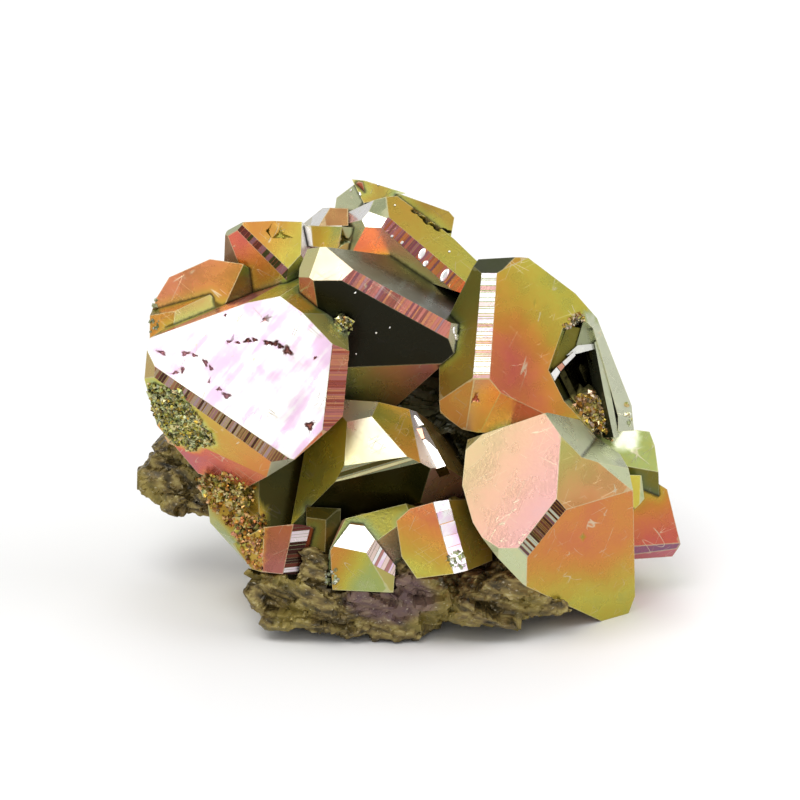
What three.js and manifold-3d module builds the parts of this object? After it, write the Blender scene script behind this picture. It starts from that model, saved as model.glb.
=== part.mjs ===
// A hand specimen of chalcopyrite on pyrite: pyrite octahedra grown into one another on broken massive pyrite,
// with a thin iridescent skin of chalcopyrite and one hollow lined with a crust of small crystals.
//
// It is laid out on its display plane, the plane a viewer faces: right, up and near, in millimetres.
// A crystal is the space its growth faces leave. Each one is a first face and then its neighbours, hinged back
// on the edges they share, and the far side repeats the near side through the crystal's heart.
// The finished specimen leans back to the way it stands on a shelf.

import * as THREE from 'three';
import Module from 'manifold-3d';

const wasm = await Module();
wasm.setup();

// Sizes in millimetres, angles in degrees.
const LEAN = 20; // the display plane leans back this far from upright
const REST_NEAR = 1.5; // how near the viewer the display plane meets the shelf
const STRIP = 35.3; // half turn from an octahedron face to the narrow face along its edge
const NODE_GAP = 0.35; // clear space between the crystals, the rock and the crust
const HOLLOW_DEEP = 8; // the hollow in the tall crystal
const CRUST = 0.6; // its lining, under the small crystals
const FAR = 400; // edge of the block a crystal is cut from

const rad = THREE.MathUtils.degToRad;

// A growth face: its outward direction and how far along it the face lies.
function facing(turn, lift) {
  return new THREE.Vector3(
    Math.sin(rad(turn)) * Math.cos(rad(lift)),
    Math.sin(rad(lift)),
    Math.cos(rad(turn)) * Math.cos(rad(lift)),
  );
}

function plane(normal, point) {
  const n = normal.clone().normalize();
  return { n, d: n.dot(point) };
}

// The point of a face seen at a place on the display plane.
function on(face, [u, v]) {
  return new THREE.Vector3(u, v, (face.d - face.n.x * u - face.n.y * v) / face.n.z);
}

// A neighbour hinged back on the edge seen from p to q, with the first face to the left of that line.
function fold(face, p, q, angle) {
  const a = on(face, p);
  const e = on(face, q).sub(a).normalize();
  const side = new THREE.Vector3().crossVectors(e, face.n);
  const n = face.n.clone().multiplyScalar(Math.cos(rad(angle)));
  return plane(n.addScaledVector(side, Math.sin(rad(angle))), a);
}

// A face through three known points, turned toward the viewer.
function span(a, b, c) {
  const n = new THREE.Vector3().crossVectors(b.clone().sub(a), c.clone().sub(a)).normalize();
  if (n.z < 0) n.negate();
  return plane(n, a);
}

// The space behind a set of faces, as a closed solid. Growth moves every face outward.
function carve(faces, growth = 0) {
  const all = faces.map((f) => ({ n: f.n, d: f.d + growth }));
  for (const axis of [[1, 0, 0], [0, 1, 0], [0, 0, 1]]) {
    const n = new THREE.Vector3(...axis);
    all.push({ n, d: FAR }, { n: n.clone().negate(), d: FAR });
  }
  const corners = [];
  const m = new THREE.Matrix3();
  for (let i = 0; i < all.length; i++) {
    for (let j = i + 1; j < all.length; j++) {
      for (let k = j + 1; k < all.length; k++) {
        const [a, b, c] = [all[i], all[j], all[k]];
        m.set(a.n.x, a.n.y, a.n.z, b.n.x, b.n.y, b.n.z, c.n.x, c.n.y, c.n.z);
        if (Math.abs(m.determinant()) < 1e-5) continue;
        const p = new THREE.Vector3(a.d, b.d, c.d).applyMatrix3(m.invert());
        if (all.some((f) => f.n.dot(p) > f.d + 1e-5)) continue;
        if (corners.some((q) => q.distanceTo(p) < 1e-4)) continue;
        corners.push(p);
      }
    }
  }
  const tris = [];
  for (const f of all) {
    const ring = corners.map((p, i) => i).filter((i) => Math.abs(f.n.dot(corners[i]) - f.d) < 2e-4);
    if (ring.length < 3) continue;
    const mid = new THREE.Vector3();
    ring.forEach((i) => mid.addScaledVector(corners[i], 1 / ring.length));
    const x = corners[ring[0]].clone().sub(mid).normalize();
    const y = new THREE.Vector3().crossVectors(f.n, x);
    const turn = (i) => Math.atan2(corners[i].clone().sub(mid).dot(y), corners[i].clone().sub(mid).dot(x));
    ring.sort((a, b) => turn(a) - turn(b));
    for (let i = 1; i + 1 < ring.length; i++) tris.push(ring[0], ring[i], ring[i + 1]);
  }
  const mesh = new wasm.Mesh({
    numProp: 3,
    vertProperties: new Float32Array(corners.flatMap((p) => p.toArray())),
    triVerts: new Uint32Array(tris),
  });
  return new wasm.Manifold(mesh);
}

// A face seen edge on that ends a crystal at its outline from p to q, closing in behind it by some angle.
function side(face, p, q, away = 8) {
  const a = on(face, p);
  const out = new THREE.Vector3(q[1] - p[1], p[0] - q[0], 0).normalize();
  const back = out.clone().multiplyScalar(-Math.sin(rad(away))).setZ(-Math.cos(rad(away)));
  const n = new THREE.Vector3().crossVectors(on(face, q).sub(a), back);
  if (n.dot(out) < 0) n.negate();
  return plane(n, a);
}

// A crystal: its near faces, the same again through its heart, the faces that end it, and its farthest reach.
function crystal(heart, reach, faces, ends = []) {
  const h = new THREE.Vector3(...heart);
  const far = faces.map((f) => ({ n: f.n.clone().negate(), d: f.d - 2 * f.n.dot(h) }));
  const limit = [];
  for (const x of [-1, 1]) {
    for (const y of [-1, 1]) {
      for (const z of [-1, 1]) {
        const n = new THREE.Vector3(x, y, z * 0.8).normalize();
        limit.push({ n, d: n.dot(h) + reach });
      }
    }
  }
  return [...faces, ...far, ...ends, ...limit];
}

function join(solids) {
  return solids.reduce((a, b) => a.add(b));
}

// Even chance numbers that come out the same each time.
function chance(seed) {
  let s = seed >>> 0;
  return () => {
    s = (Math.imul(s, 1664525) + 1013904223) >>> 0;
    return s / 4294967296;
  };
}

// The big crystal on the left: a broad near face over an orange one, with a striated strip between them.
function leftCrystal() {
  const broad = plane(facing(-3, 4), new THREE.Vector3(-19, 28, 10));
  const strip = fold(broad, [-28, 29], [-13.2, 18.9], STRIP);
  const lower = fold(strip, [-28.7, 28.3], [-14.7, 18.2], 26);
  const right = fold(broad, [-9.5, 22.7], [-8.4, 32.3], 40);
  const faces = crystal([-19, 27.5, -4], 18.5, [
    broad,
    strip,
    lower,
    right,
    fold(broad, [-13.4, 18.9], [-12.6, 18.8], 62),
    fold(broad, [-12.8, 18.7], [-9.9, 21.7], 44),
    fold(broad, [-29.3, 31.8], [-28, 29.1], 50),
  ], [
    fold(broad, [-8.3, 32.3], [-11.7, 34.8], 66),
    fold(broad, [-11.7, 34.8], [-13.6, 36.8], 62),
    fold(broad, [-13.6, 36.8], [-18, 35.9], 76),
    fold(broad, [-18, 35.9], [-29.3, 31.8], 80),
    side(right, [-7.5, 22.5], [-6.8, 29.5]),
    side(lower, [-29.4, 31.6], [-29.1, 27.5], 14),
    side(lower, [-29.1, 27.5], [-27.8, 22.5], 14),
    side(lower, [-27.8, 22.5], [-23.3, 17.2], 14),
    side(lower, [-23.3, 17.2], [-18.3, 15.5], 8),
    side(lower, [-18.3, 15.5], [-14.7, 17.4], 8),
  ]);
  return { faces, lower };
}

// The low crystal that shoulders up behind it, and the small one at its foot.
function shoulderCrystals() {
  const front = plane(facing(-10, 8), new THREE.Vector3(-23.5, 37.8, 1));
  const high = crystal([-22, 34.5, -7], 10, [
    front,
    fold(front, [-28.3, 35.1], [-20.5, 35.5], 50),
    fold(front, [-20.4, 35.6], [-18.7, 39.3], 48),
  ], [
    side(front, [-18.7, 40.3], [-22, 40.8], 30),
    side(front, [-22, 40.8], [-26.5, 38.8], 30),
    side(front, [-26.5, 38.8], [-27.9, 36.5], 16),
    side(front, [-27.9, 36.5], [-28.5, 34.8], 16),
  ]);
  const low = plane(facing(-24, 16), new THREE.Vector3(-27, 33.9, 3));
  return [high, crystal([-25, 33, -2], 6, [
    low,
    fold(low, [-26, 33], [-25.8, 35], 40),
    fold(low, [-25.8, 35.1], [-28.5, 34.6], 50),
  ], [side(low, [-28.6, 34.6], [-28.6, 31], 12)])];
}

// The upper left crystal, with a dark striated strip across it.
function upperLeftCrystal() {
  const red = plane(facing(-20, -20), new THREE.Vector3(-16.5, 40, 1.5));
  const strip = fold(red, [-14.1, 39], [-18.8, 43.8], STRIP);
  const olive = fold(strip, [-13.5, 39.8], [-17.9, 44], STRIP);
  return crystal([-15.5, 38.5, -7], 10, [
    red,
    strip,
    olive,
    fold(olive, [-12, 41.3], [-11.9, 44.6], 38),
    fold(olive, [-13.4, 39.7], [-12, 41.3], 40),
  ], [
    fold(red, [-20, 43.2], [-18.9, 40.4], 40),
    side(olive, [-11, 44.9], [-17.8, 45.1], 20),
    side(strip, [-17.8, 45.1], [-19.7, 44.6], 20),
    side(red, [-19.6, 44.7], [-20.3, 43.9], 10),
    side(red, [-20.3, 44], [-20.9, 40.5], 10),
  ]);
}

// The crystal at the very top, with a ridge falling from its middle to the right, and the ledges beside it.
function topCrystals() {
  const rose = plane(facing(-16, -16), new THREE.Vector3(-2, 41.5, -0.5));
  const strip = fold(rose, [4.6, 37.4], [-3, 44.1], STRIP);
  const olive = fold(strip, [5.7, 38.6], [-2, 45.1], STRIP);
  const oval = plane(facing(-14, 22), on(rose, [-4.2, 44.3]));
  const grey = fold(oval, [-3.1, 45.5], [-5.6, 46.4], 16);
  const body = crystal([0, 39, -9], 11, [
    rose,
    strip,
    olive,
    oval,
    grey,
    fold(rose, [-5, 44.2], [-6.7, 41], 34),
    fold(oval, [-5.6, 46.4], [-7, 45.5], 34),
  ], [
    side(olive, [7.4, 40.6], [4.4, 43.5], 12),
    side(olive, [4.4, 43.5], [0.6, 46.3], 6),
    side(olive, [0.6, 46.6], [-1.2, 48.1], 16),
    side(oval, [-8.1, 46.5], [-8.1, 41.8], 20),
    side(grey, [-1, 48.1], [-5.2, 47], 14),
    side(rose, [-7.9, 41.6], [2.5, 38.1], 2),
  ]);
  const edge = plane(facing(22, 16), on(olive, [3, 45]).add(new THREE.Vector3(0, 0, -0.3)));
  const ledge = crystal([2.2, 44.5, -7], 6, [edge], [
    side(edge, [4.4, 42.6], [4.9, 45.4], 10),
    side(edge, [4.9, 45.4], [4.3, 46.1], 10),
    side(edge, [4.3, 46.1], [-0.8, 47.9], 16),
  ]);
  const roof = plane(facing(-4, 24), new THREE.Vector3(-4, 48, -4));
  const crest = crystal([-4, 46, -9], 7, [roof], [
    side(roof, [-5.1, 47], [-0.8, 48], 2),
    side(roof, [-6.4, 49.6], [-5.1, 47], 10),
    side(roof, [-0.8, 48.2], [-5, 49.5], 16),
    side(roof, [-5, 49.5], [-7, 49.7], 16),
  ]);
  return [body, ledge, crest];
}

// Small crystals in the saddle between the upper left crystal and the top one.
function saddleCrystals() {
  const gold = plane(facing(-12, -6), new THREE.Vector3(-9.2, 43.3, -1.5));
  const pink = plane(facing(-14, 18), new THREE.Vector3(-8.3, 45.5, -2.5));
  const grey = plane(facing(-20, 6), new THREE.Vector3(-7.4, 47.8, -5));
  return [
    crystal([-9.2, 42, -5], 6, [
      gold,
      fold(gold, [-7.9, 42.2], [-7.5, 44.3], 40),
      fold(gold, [-10.9, 44.4], [-10.7, 42.3], 36),
    ], [
      side(gold, [-7.4, 44.4], [-11.2, 44.5], 6),
      side(gold, [-10.7, 42.2], [-8, 41.9], 4),
    ]),
    crystal([-8.2, 43.5, -6], 6, [
      pink,
      fold(pink, [-9.1, 46], [-9.9, 44.7], 34),
    ], [
      side(pink, [-6.8, 44], [-6.8, 46.4], 6),
      side(pink, [-6.8, 46.4], [-9.1, 46.5], 6),
      side(pink, [-9, 47], [-10.9, 45.6], 6),
      side(pink, [-10.9, 45.8], [-12, 45.1], 6),
      side(pink, [-12, 44.4], [-6.9, 44.5], 6),
    ]),
    crystal([-7.4, 45.5, -9], 7, [grey], [
      side(grey, [-4.4, 45.5], [-5.2, 49.2], 8),
      side(grey, [-5.2, 49.3], [-7.1, 49.8], 8),
      side(grey, [-7.1, 49.7], [-7.9, 48.9], 8),
      side(grey, [-7.9, 48.9], [-8.1, 47.6], 8),
      side(grey, [-8.1, 47.6], [-9.7, 46.4], 8),
      side(grey, [-9.7, 45.6], [-4.4, 45.5], 8),
    ]),
  ];
}

// The dark crystal in the middle, with the long striated bar.
function middleCrystal() {
  const dark = plane(facing(-8, -30), new THREE.Vector3(-2, 32.5, 6));
  const bar = fold(dark, [4.2, 32], [-7.5, 38.4], STRIP);
  const yellow = fold(dark, [-7.5, 38.4], [-10.8, 38.4], 50);
  const upper = span(on(bar, [4.4, 33.8]), on(bar, [-6.8, 39.9]), on(yellow, [-9, 41.9]));
  const under = fold(dark, [-6.5, 28.9], [3.5, 29.3], 22);
  const pale = fold(yellow, [-9.9, 42], [-11.1, 38.6], 30);
  const small = fold(dark, [-10.6, 38.4], [-10, 34.5], 30);
  return crystal([-2.5, 30.5, -6], 19, [
    dark,
    bar,
    yellow,
    upper,
    pale,
    small,
    fold(bar, [4.2, 32], [4.5, 33.8], 36),
  ], [
    under,
    fold(dark, [3.5, 29.3], [5, 30.5], 42),
    side(yellow, [-8.9, 42.1], [-11.3, 42], 8),
    side(pale, [-11.2, 42], [-12.3, 39.3], 6),
    side(small, [-12.2, 38.8], [-12, 34], 6),
    side(under, [-7.5, 21.4], [-2, 21.1], 8),
    side(under, [-1.2, 24.9], [3.4, 29], 8),
  ]);
}

// The tall crystal on the right, with an upright striated strip, and the hollow in it.
function tallCrystal() {
  const strip = plane(facing(0, 4), new THREE.Vector3(8.2, 33.5, 7));
  const left = fold(strip, [7.85, 39.2], [6.9, 27.7], STRIP);
  const right = fold(strip, [8.7, 27.7], [9.5, 39.2], 30);
  const nub = fold(strip, [6.9, 27.6], [8.7, 27.6], 28);
  const faces = crystal([13, 31, -5], 15, [
    strip,
    left,
    right,
    nub,
    fold(right, [9.5, 26.3], [13, 24.6], 34),
    fold(left, [6, 27.1], [6.9, 27.7], 30),
    fold(right, [12.5, 40.7], [9.5, 39.3], 36),
    fold(strip, [9.5, 39.2], [7.85, 39.2], 40),
  ], [
    side(right, [13.4, 40.8], [9.4, 41.7], 20),
    side(left, [9.4, 41.7], [7.5, 41.1], 20),
    side(left, [7.5, 41.1], [4.8, 35.6], 10),
    side(right, [20.4, 34.5], [18.2, 37], 10),
    side(right, [18.2, 37], [13.4, 40.6], 10),
    side(right, [24.4, 24.7], [20.5, 34.5], 10),
    side(right, [24.8, 20.5], [24.4, 24.7], 10),
    side(nub, [3.2, 23.7], [6.1, 21.8], 10),
    side(nub, [6.1, 21.8], [12, 21.5], 10),
    side(left, [3.2, 27], [3.2, 24], 10),
    side(right, [12, 20.6], [25, 19.2], 10),
  ]);
  return { faces, right };
}

// The hollow: its mouth on the tall crystal's right face, narrowing as it goes in.
function hollow(right) {
  const mouth = [
    [22.9, 20.4], [22.9, 23.5], [21.3, 29.3], [20.1, 33.2], [18.8, 34.4],
    [16.8, 33.2], [15.2, 28.6], [16.9, 25.2], [20.6, 21.2],
  ];
  const walls = mouth.map((p, i) => side(right, p, mouth[(i + 1) % mouth.length], 14));
  const floor = plane(facing(190, 0), on(right, [19, 28]).add(new THREE.Vector3(0, 0, -HOLLOW_DEEP)));
  return [...walls, floor, plane(facing(10, 0), new THREE.Vector3(19, 28, 14))];
}

// The pink crystal at the lower right.
function pinkCrystal() {
  const pink = plane(facing(-10, 5), new THREE.Vector3(11, 16, 13));
  const strip = fold(pink, [11.8, 9.1], [15.7, 14.1], STRIP);
  const orange = fold(strip, [13, 8.4], [17, 13.3], 28);
  const tip = on(orange, [24.2, 15.4]);
  const olive = span(on(pink, [16.5, 21.8]), on(strip, [16.6, 13.8]), tip);
  const top = fold(olive, [24.2, 15.5], [16.6, 21.8], 24);
  const foot = fold(pink, [9.7, 9.1], [11.8, 9.1], 44);
  const heel = fold(pink, [7.2, 10.7], [9.7, 9.1], 44);
  return crystal([15, 13, -1], 16, [
    pink,
    strip,
    orange,
    olive,
    top,
    foot,
    heel,
    fold(pink, [16.4, 22], [15.4, 24.1], 30),
  ], [
    side(pink, [15.4, 24.1], [6, 20.9], 2),
    side(pink, [6.2, 21], [5.7, 16], 6),
    side(pink, [5.7, 16], [7.2, 10.7], 6),
    side(heel, [7, 10.4], [8.8, 7.6], 6),
    side(foot, [8.8, 7.6], [14, 4], 10),
    side(top, [19, 24.1], [15.3, 24.2], 8),
    side(top, [23.6, 19.5], [19, 24.1], 8),
    side(top, [24.4, 15.6], [23.6, 19.5], 8),
    side(orange, [25.1, 4.5], [24.5, 15.2], 8),
    side(orange, [23.9, 1.3], [25.1, 4.5], 8),
    side(orange, [20.3, 0.3], [23.9, 1.3], 8),
    side(orange, [14, 4], [20.3, 0.3], 20),
  ]);
}

// The crystal low in the middle: lengthwise striated bars over a black face, gold faces to the right.
function lowerMiddleCrystal() {
  const bright = plane(facing(-14, 24), new THREE.Vector3(-4, 20.5, 8));
  const bars = fold(bright, [-7.3, 18.1], [-1, 19], 36);
  const black = fold(bars, [-8, 16.4], [0, 18.2], 34);
  const gold = fold(bright, [0, 18.7], [-4.2, 23.5], 36);
  const wedge = fold(gold, [1.3, 17.8], [0.1, 23.5], 22);
  const far = fold(wedge, [3.9, 18.2], [1.5, 22.6], 22);
  const mauve = fold(wedge, [1.9, 17.4], [4, 18.2], 40);
  const under = fold(black, [-10, 11.5], [0.8, 14], 30);
  return crystal([0, 15.5, -3], 15, [
    bright,
    bars,
    black,
    gold,
    wedge,
    mauve,
    fold(bright, [-4.2, 23.5], [-6.9, 22.9], 30),
    fold(bright, [-6.9, 22.9], [-7.2, 18.1], 40),
  ], [
    far,
    under,
    fold(black, [1.3, 14.7], [2, 17], 40),
    fold(mauve, [2.2, 16], [4.8, 16.6], 36),
    side(gold, [1.6, 23.9], [-4.4, 25.3], 12),
    side(far, [6.6, 18.8], [1.6, 23.9], 8),
    side(far, [10, 15], [10, 20.2], 0),
    side(under, [-9, 8], [0.8, 8], 0),
  ]);
}

// Small crystals in a row along the foot.
function footCrystals() {
  const white = plane(facing(-14, 22), new THREE.Vector3(-5.8, 10, 10.5));
  const under = fold(white, [-7.8, 9.2], [-4.8, 8.6], 38);
  const orange = plane(facing(-8, 4), new THREE.Vector3(1.5, 10.5, 12));
  const right = fold(orange, [4, 9], [2.6, 13.8], 34);
  const olive = fold(right, [5.6, 9.3], [4.2, 14.3], 30);
  const pink = plane(facing(-10, 6), new THREE.Vector3(-14.6, 9.2, 8));
  const dark = fold(pink, [-13.8, 6.8], [-12.8, 11.5], 32);
  const green = plane(facing(-28, 10), new THREE.Vector3(-19.5, 11.5, 0.5));
  const ledge = plane(facing(-8, 34), new THREE.Vector3(-3, 12, 7.4));
  const front = fold(ledge, [-8, 9], [2.5, 9.6], 44);
  const post = plane(facing(-16, 6), new THREE.Vector3(-10.2, 9, 7));
  return [
    crystal([-5, 9.5, -1], 12, [
      white,
      under,
      fold(white, [-4.8, 8.6], [-3.9, 10], 32),
    ], [
      side(white, [-3.9, 10.1], [-5, 11.5], 0),
      side(white, [-5, 11.5], [-6.6, 11.7], -4),
      side(white, [-6.6, 11.7], [-8.7, 8.9], 0),
      side(under, [-8.8, 10], [-8.5, 4.5]),
      side(under, [-8.5, 4.5], [-1.4, 4.2]),
      side(under, [-1.8, 4.2], [-1.2, 8.4]),
    ]),
    crystal([2.5, 9.5, 4], 9, [orange, right, olive], [
      side(orange, [1.3, 14.6], [-2.8, 10.9], 6),
      side(orange, [-2.8, 10.9], [-0.8, 8], 10),
      side(right, [4.3, 14.4], [1.2, 13.9], 10),
      side(orange, [-0.9, 8], [-0.6, 6]),
      side(orange, [-0.6, 5.6], [7, 6.6]),
      side(olive, [9, 6], [9, 12], 0),
      side(olive, [9, 16.4], [4.2, 16.6], 10),
    ]),
    crystal([-14, 8.5, 0], 9, [
      pink,
      dark,
      fold(dark, [-12, 7.5], [-10.9, 11.5], 36),
      fold(pink, [-16, 11.2], [-16.2, 7], 44),
    ], [
      side(pink, [-12.8, 11.7], [-16.5, 11.3], 20),
      side(dark, [-10.6, 11.4], [-13, 11.8], 20),
      side(pink, [-21, 10.5], [-17.8, 7], 6),
      side(pink, [-17.8, 6.6], [-11.5, 6]),
      side(dark, [-10.6, 6], [-10.4, 11.8]),
    ]),
    crystal([-3, 7, -2], 10, [
      ledge,
      front,
      fold(ledge, [1.5, 9], [2.5, 14], 30),
      fold(front, [-4.6, 5], [-4.6, 9], 30),
    ], [
      side(front, [-8.6, 6], [3.6, 6.4], 0),
      side(ledge, [2.2, 14.6], [-7.5, 12.2], 30),
      side(ledge, [-7.5, 12.2], [-9.2, 8], 20),
    ]),
    crystal([-9.6, 9, 1], 7, [
      post,
      fold(post, [-9.4, 6], [-9.2, 12.4], 40),
      fold(post, [-8, 12], [-11, 12.4], 34),
    ], [
      side(post, [-7.8, 6], [-7.6, 13], 0),
      side(post, [-7.6, 13.4], [-11.2, 13.6], 0),
      side(post, [-11.4, 13], [-11.2, 6], 0),
      side(post, [-11.2, 6.2], [-7.8, 5.6], 0),
    ]),
    crystal([-17.5, 13, -5], 10, [
      green,
      fold(green, [-16.6, 8], [-16.6, 14], 44),
    ], [
      side(green, [-12, 19.6], [-20.5, 18.6]),
      side(green, [-22.6, 16.6], [-22, 11.8]),
      side(green, [-22, 11.8], [-17.6, 7]),
      side(green, [-17.6, 7], [-15, 6.6]),
    ]),
  ];
}

// The crystals at the right edge.
function edgeCrystals() {
  const red = plane(facing(24, -4), new THREE.Vector3(27, 12.5, -6));
  const mauve = fold(red, [25, 9.2], [29.6, 9.5], 20);
  const green = plane(facing(24, 18), new THREE.Vector3(25.5, 20, -5));
  const olive = plane(facing(16, 14), new THREE.Vector3(24.8, 15.5, -1.5));
  return [
    crystal([24, 13, -9.5], 7, [
      red,
      mauve,
      fold(mauve, [25, 8.3], [29.6, 8.9], 30),
    ], [
      side(red, [29.9, 9.3], [28.2, 16.2]),
      side(red, [28.3, 15.5], [26.4, 16.7]),
      side(red, [26.4, 16.7], [23, 14]),
      side(mauve, [29, 7.8], [30, 9.6]),
      side(mauve, [22, 7.5], [29.2, 7.9]),
    ]),
    crystal([23, 19, -10], 8, [
      green,
      fold(green, [24.4, 17.9], [27.2, 17.4], 40),
    ], [
      side(green, [27.4, 17.4], [27, 20.3]),
      side(green, [27, 20.3], [26.4, 21.9]),
      side(green, [26.5, 21.8], [23.6, 22.2]),
    ]),
    crystal([23.4, 14.5, -5], 5, [olive, fold(olive, [25.3, 14], [25.4, 16.8], 40)], [
      side(olive, [25.6, 17], [23.4, 17.1]),
      side(olive, [25.9, 14.3], [25.5, 17]),
      side(olive, [24, 12.6], [25.9, 14.4]),
    ]),
  ];
}

// A small blunt octahedron, turned by chance.
function grain(at, size, next) {
  const turn = new THREE.Euler(next() * 6, next() * 6, next() * 6);
  const list = [];
  for (const x of [-1, 1]) {
    for (const y of [-1, 1]) {
      for (const z of [-1, 1]) {
        const n = new THREE.Vector3(x, y, z).normalize().applyEuler(turn);
        list.push({ n, d: n.dot(at) + size * (0.5 + next() * 0.16) });
      }
    }
  }
  return list;
}

// Small crystals scattered over a patch of a face, given by corners seen on the display plane.
function scatter(face, corners, count, small, large, seed) {
  const next = chance(seed);
  const us = corners.map((p) => p[0]);
  const vs = corners.map((p) => p[1]);
  const inside = (u, v) => corners.every((p, i) => {
    const q = corners[(i + 1) % corners.length];
    return (q[0] - p[0]) * (v - p[1]) - (q[1] - p[1]) * (u - p[0]) > 0;
  });
  const list = [];
  for (let tries = 0; list.length < count && tries < count * 40; tries++) {
    const u = THREE.MathUtils.lerp(Math.min(...us), Math.max(...us), next());
    const v = THREE.MathUtils.lerp(Math.min(...vs), Math.max(...vs), next());
    if (inside(u, v)) list.push(grain(on(face, [u, v]), THREE.MathUtils.lerp(small, large, next()), next));
  }
  return list;
}

// Druse, the patches of small crystals that stand on the large ones.
function druse(left) {
  const under = plane(facing(-20, 20), new THREE.Vector3(-21, 16, 1));
  const column = plane(facing(-10, 10), new THREE.Vector3(-17, 11, 4));
  const knot = plane(facing(-20, 0), new THREE.Vector3(-7.3, 33.3, 6.4));
  const foot = plane(facing(0, 10), new THREE.Vector3(4.6, 7.9, 10.4));
  return [
    ...scatter(left, [[-28.6, 27.2], [-28, 24], [-26.6, 21], [-24, 19.8], [-21.6, 21], [-25.4, 26.2]], 40, 0.4, 0.85, 57),
    ...scatter(under, [[-23.2, 16.9], [-22.6, 14.8], [-18.4, 13.8], [-17.8, 15.4]], 14, 0.5, 1.1, 52),
    ...scatter(column, [[-18.6, 15], [-19, 9.6], [-16.4, 7], [-16.2, 12.8]], 18, 0.5, 1.1, 53),
    ...scatter(knot, [[-8, 34], [-8, 32.4], [-6.8, 32.4], [-6.8, 34]], 5, 0.6, 1.1, 54),
    ...scatter(foot, [[3.6, 9], [3.8, 7], [5.8, 7], [5.6, 9]], 9, 0.5, 0.9, 55),
  ];
}

// The crust in the hollow: a thin lining with small crystals standing on its walls and crowding its floor.
function hollowCrust(mouth, right) {
  const skin = { n: right.n, d: right.d - 1.4 };
  const lining = carve(mouth, -NODE_GAP).subtract(carve(mouth, -NODE_GAP - CRUST));
  const next = chance(41);
  const grains = [];
  const floor = on(right, [19, 28]).z - HOLLOW_DEEP;
  for (let i = 0; i < 46; i++) {
    const t = next();
    const at = new THREE.Vector3(18 + 3.2 * t + 1.6 * next(), 25.6 - 3.4 * t + 1.4 * next(), floor + 1 + 5.4 * next());
    grains.push(grain(at, 0.7 + 0.7 * next(), next));
  }
  for (let i = 0; i < 10; i++) {
    const at = new THREE.Vector3(17.4 + 1.7 * next(), 33.2 + 1.1 * next(), floor + 3 + 4.6 * next());
    grains.push(grain(at, 0.5 + 0.4 * next(), next));
  }
  return join([lining, ...grains.map((g) => carve(g))])
    .intersect(carve(mouth, -NODE_GAP))
    .trimByPlane(skin.n.clone().negate().toArray(), -skin.d);
}

// A broken lump of massive pyrite: conchoidal flats all round an egg, and any faces that end it.
function lump(seed, middle, radii, flats, ends = []) {
  const next = chance(seed);
  const m = new THREE.Vector3(...middle);
  const list = [];
  for (let i = 0; i < flats; i++) {
    const up = 1 - (2 * (i + 0.5)) / flats;
    const turn = i * 137.5 + next() * 50;
    const flat = Math.sqrt(1 - up * up);
    const n = new THREE.Vector3(Math.cos(rad(turn)) * flat, up + (next() - 0.5) * 0.3, Math.sin(rad(turn)) * flat);
    n.normalize();
    const reach = Math.hypot(n.x * radii[0], n.y * radii[1], n.z * radii[2]) * (0.86 + next() * 0.16);
    list.push({ n, d: n.dot(m) + reach });
  }
  return [...list, ...ends];
}

// The massive pyrite behind and under the crystals.
function rockLumps() {
  const left = plane(facing(-22, -28), new THREE.Vector3(-12, 3, 7.5));
  const middle = plane(facing(4, -38), new THREE.Vector3(-2, 4, 8.5));
  const right = plane(facing(10, -30), new THREE.Vector3(9, 4, 8));
  const ear = plane(facing(-24, 8), new THREE.Vector3(-26, 16, -8));
  return [
    lump(3, [-3, 21, -10], [20, 17, 9], 34),
    lump(5, [-12, 27, -11], [13, 13, 8], 26),
    lump(7, [9, 26, -11], [12.5, 11, 8], 26),
    lump(11, [1, 9, -8], [20, 11, 11], 30, [
      side(middle, [-18, 8], [-17.5, 2], 20),
    ]),
    lump(13, [-11, 5, 0], [8, 7, 9], 24, [
      left,
      side(left, [-18.2, 7.4], [-18.3, 4.2], 14),
      side(left, [-18.3, 4.2], [-15.6, 1], 14),
      side(left, [-15.6, 1], [-5, -0.3], 10),
    ]),
    lump(17, [-2, 4, 1], [9, 6, 9.5], 24, [
      middle,
      side(middle, [-12, 0.6], [-6, -0.4], 10),
      side(middle, [-6, -0.4], [2, 0], 10),
      side(middle, [2, 0], [8, 0.9], 10),
    ]),
    lump(19, [9, 4, 0], [10, 6, 9], 24, [
      right,
      side(right, [20.3, 0.2], [22, 2], 14),
      side(right, [0, 0], [8, 0.9], 10),
      side(right, [9, 0.6], [18, 0], 10),
    ]),
    lump(23, [-24.5, 16, -12], [6.5, 5, 6], 22, [
      ear,
      side(ear, [-28.4, 19.8], [-30.2, 16.6], 14),
      side(ear, [-30.2, 16.6], [-30, 14.7], 14),
      side(ear, [-30, 14.8], [-26.8, 13.2], 14),
      side(ear, [-26.8, 13.2], [-21.5, 12.1], 14),
    ]),
  ];
}

// Display plane to shelf: lean back, then cut flat where it stands.
function onShelf(solid) {
  const leant = solid
    .translate([0, 0, -REST_NEAR])
    .transform([1, 0, 0, 0, 0, 0, 1, 0, 0, -1, 0, 0, 0, 0, 0, 1])
    .rotate([-LEAN, 0, 0]);
  return leant.trimByPlane([0, 0, 1], 0);
}

// The middle of the footprint goes to the origin.
function centred(solids) {
  const boxes = solids.map((s) => s.boundingBox());
  const middle = (i) => (Math.min(...boxes.map((b) => b.min[i])) + Math.max(...boxes.map((b) => b.max[i]))) / 2;
  return solids.map((s) => s.translate([-middle(0), -middle(1), 0]));
}

// The largest connected piece of a solid.
function whole(solid) {
  const pieces = solid.decompose().sort((a, b) => b.volume() - a.volume());
  return pieces[0];
}

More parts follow.
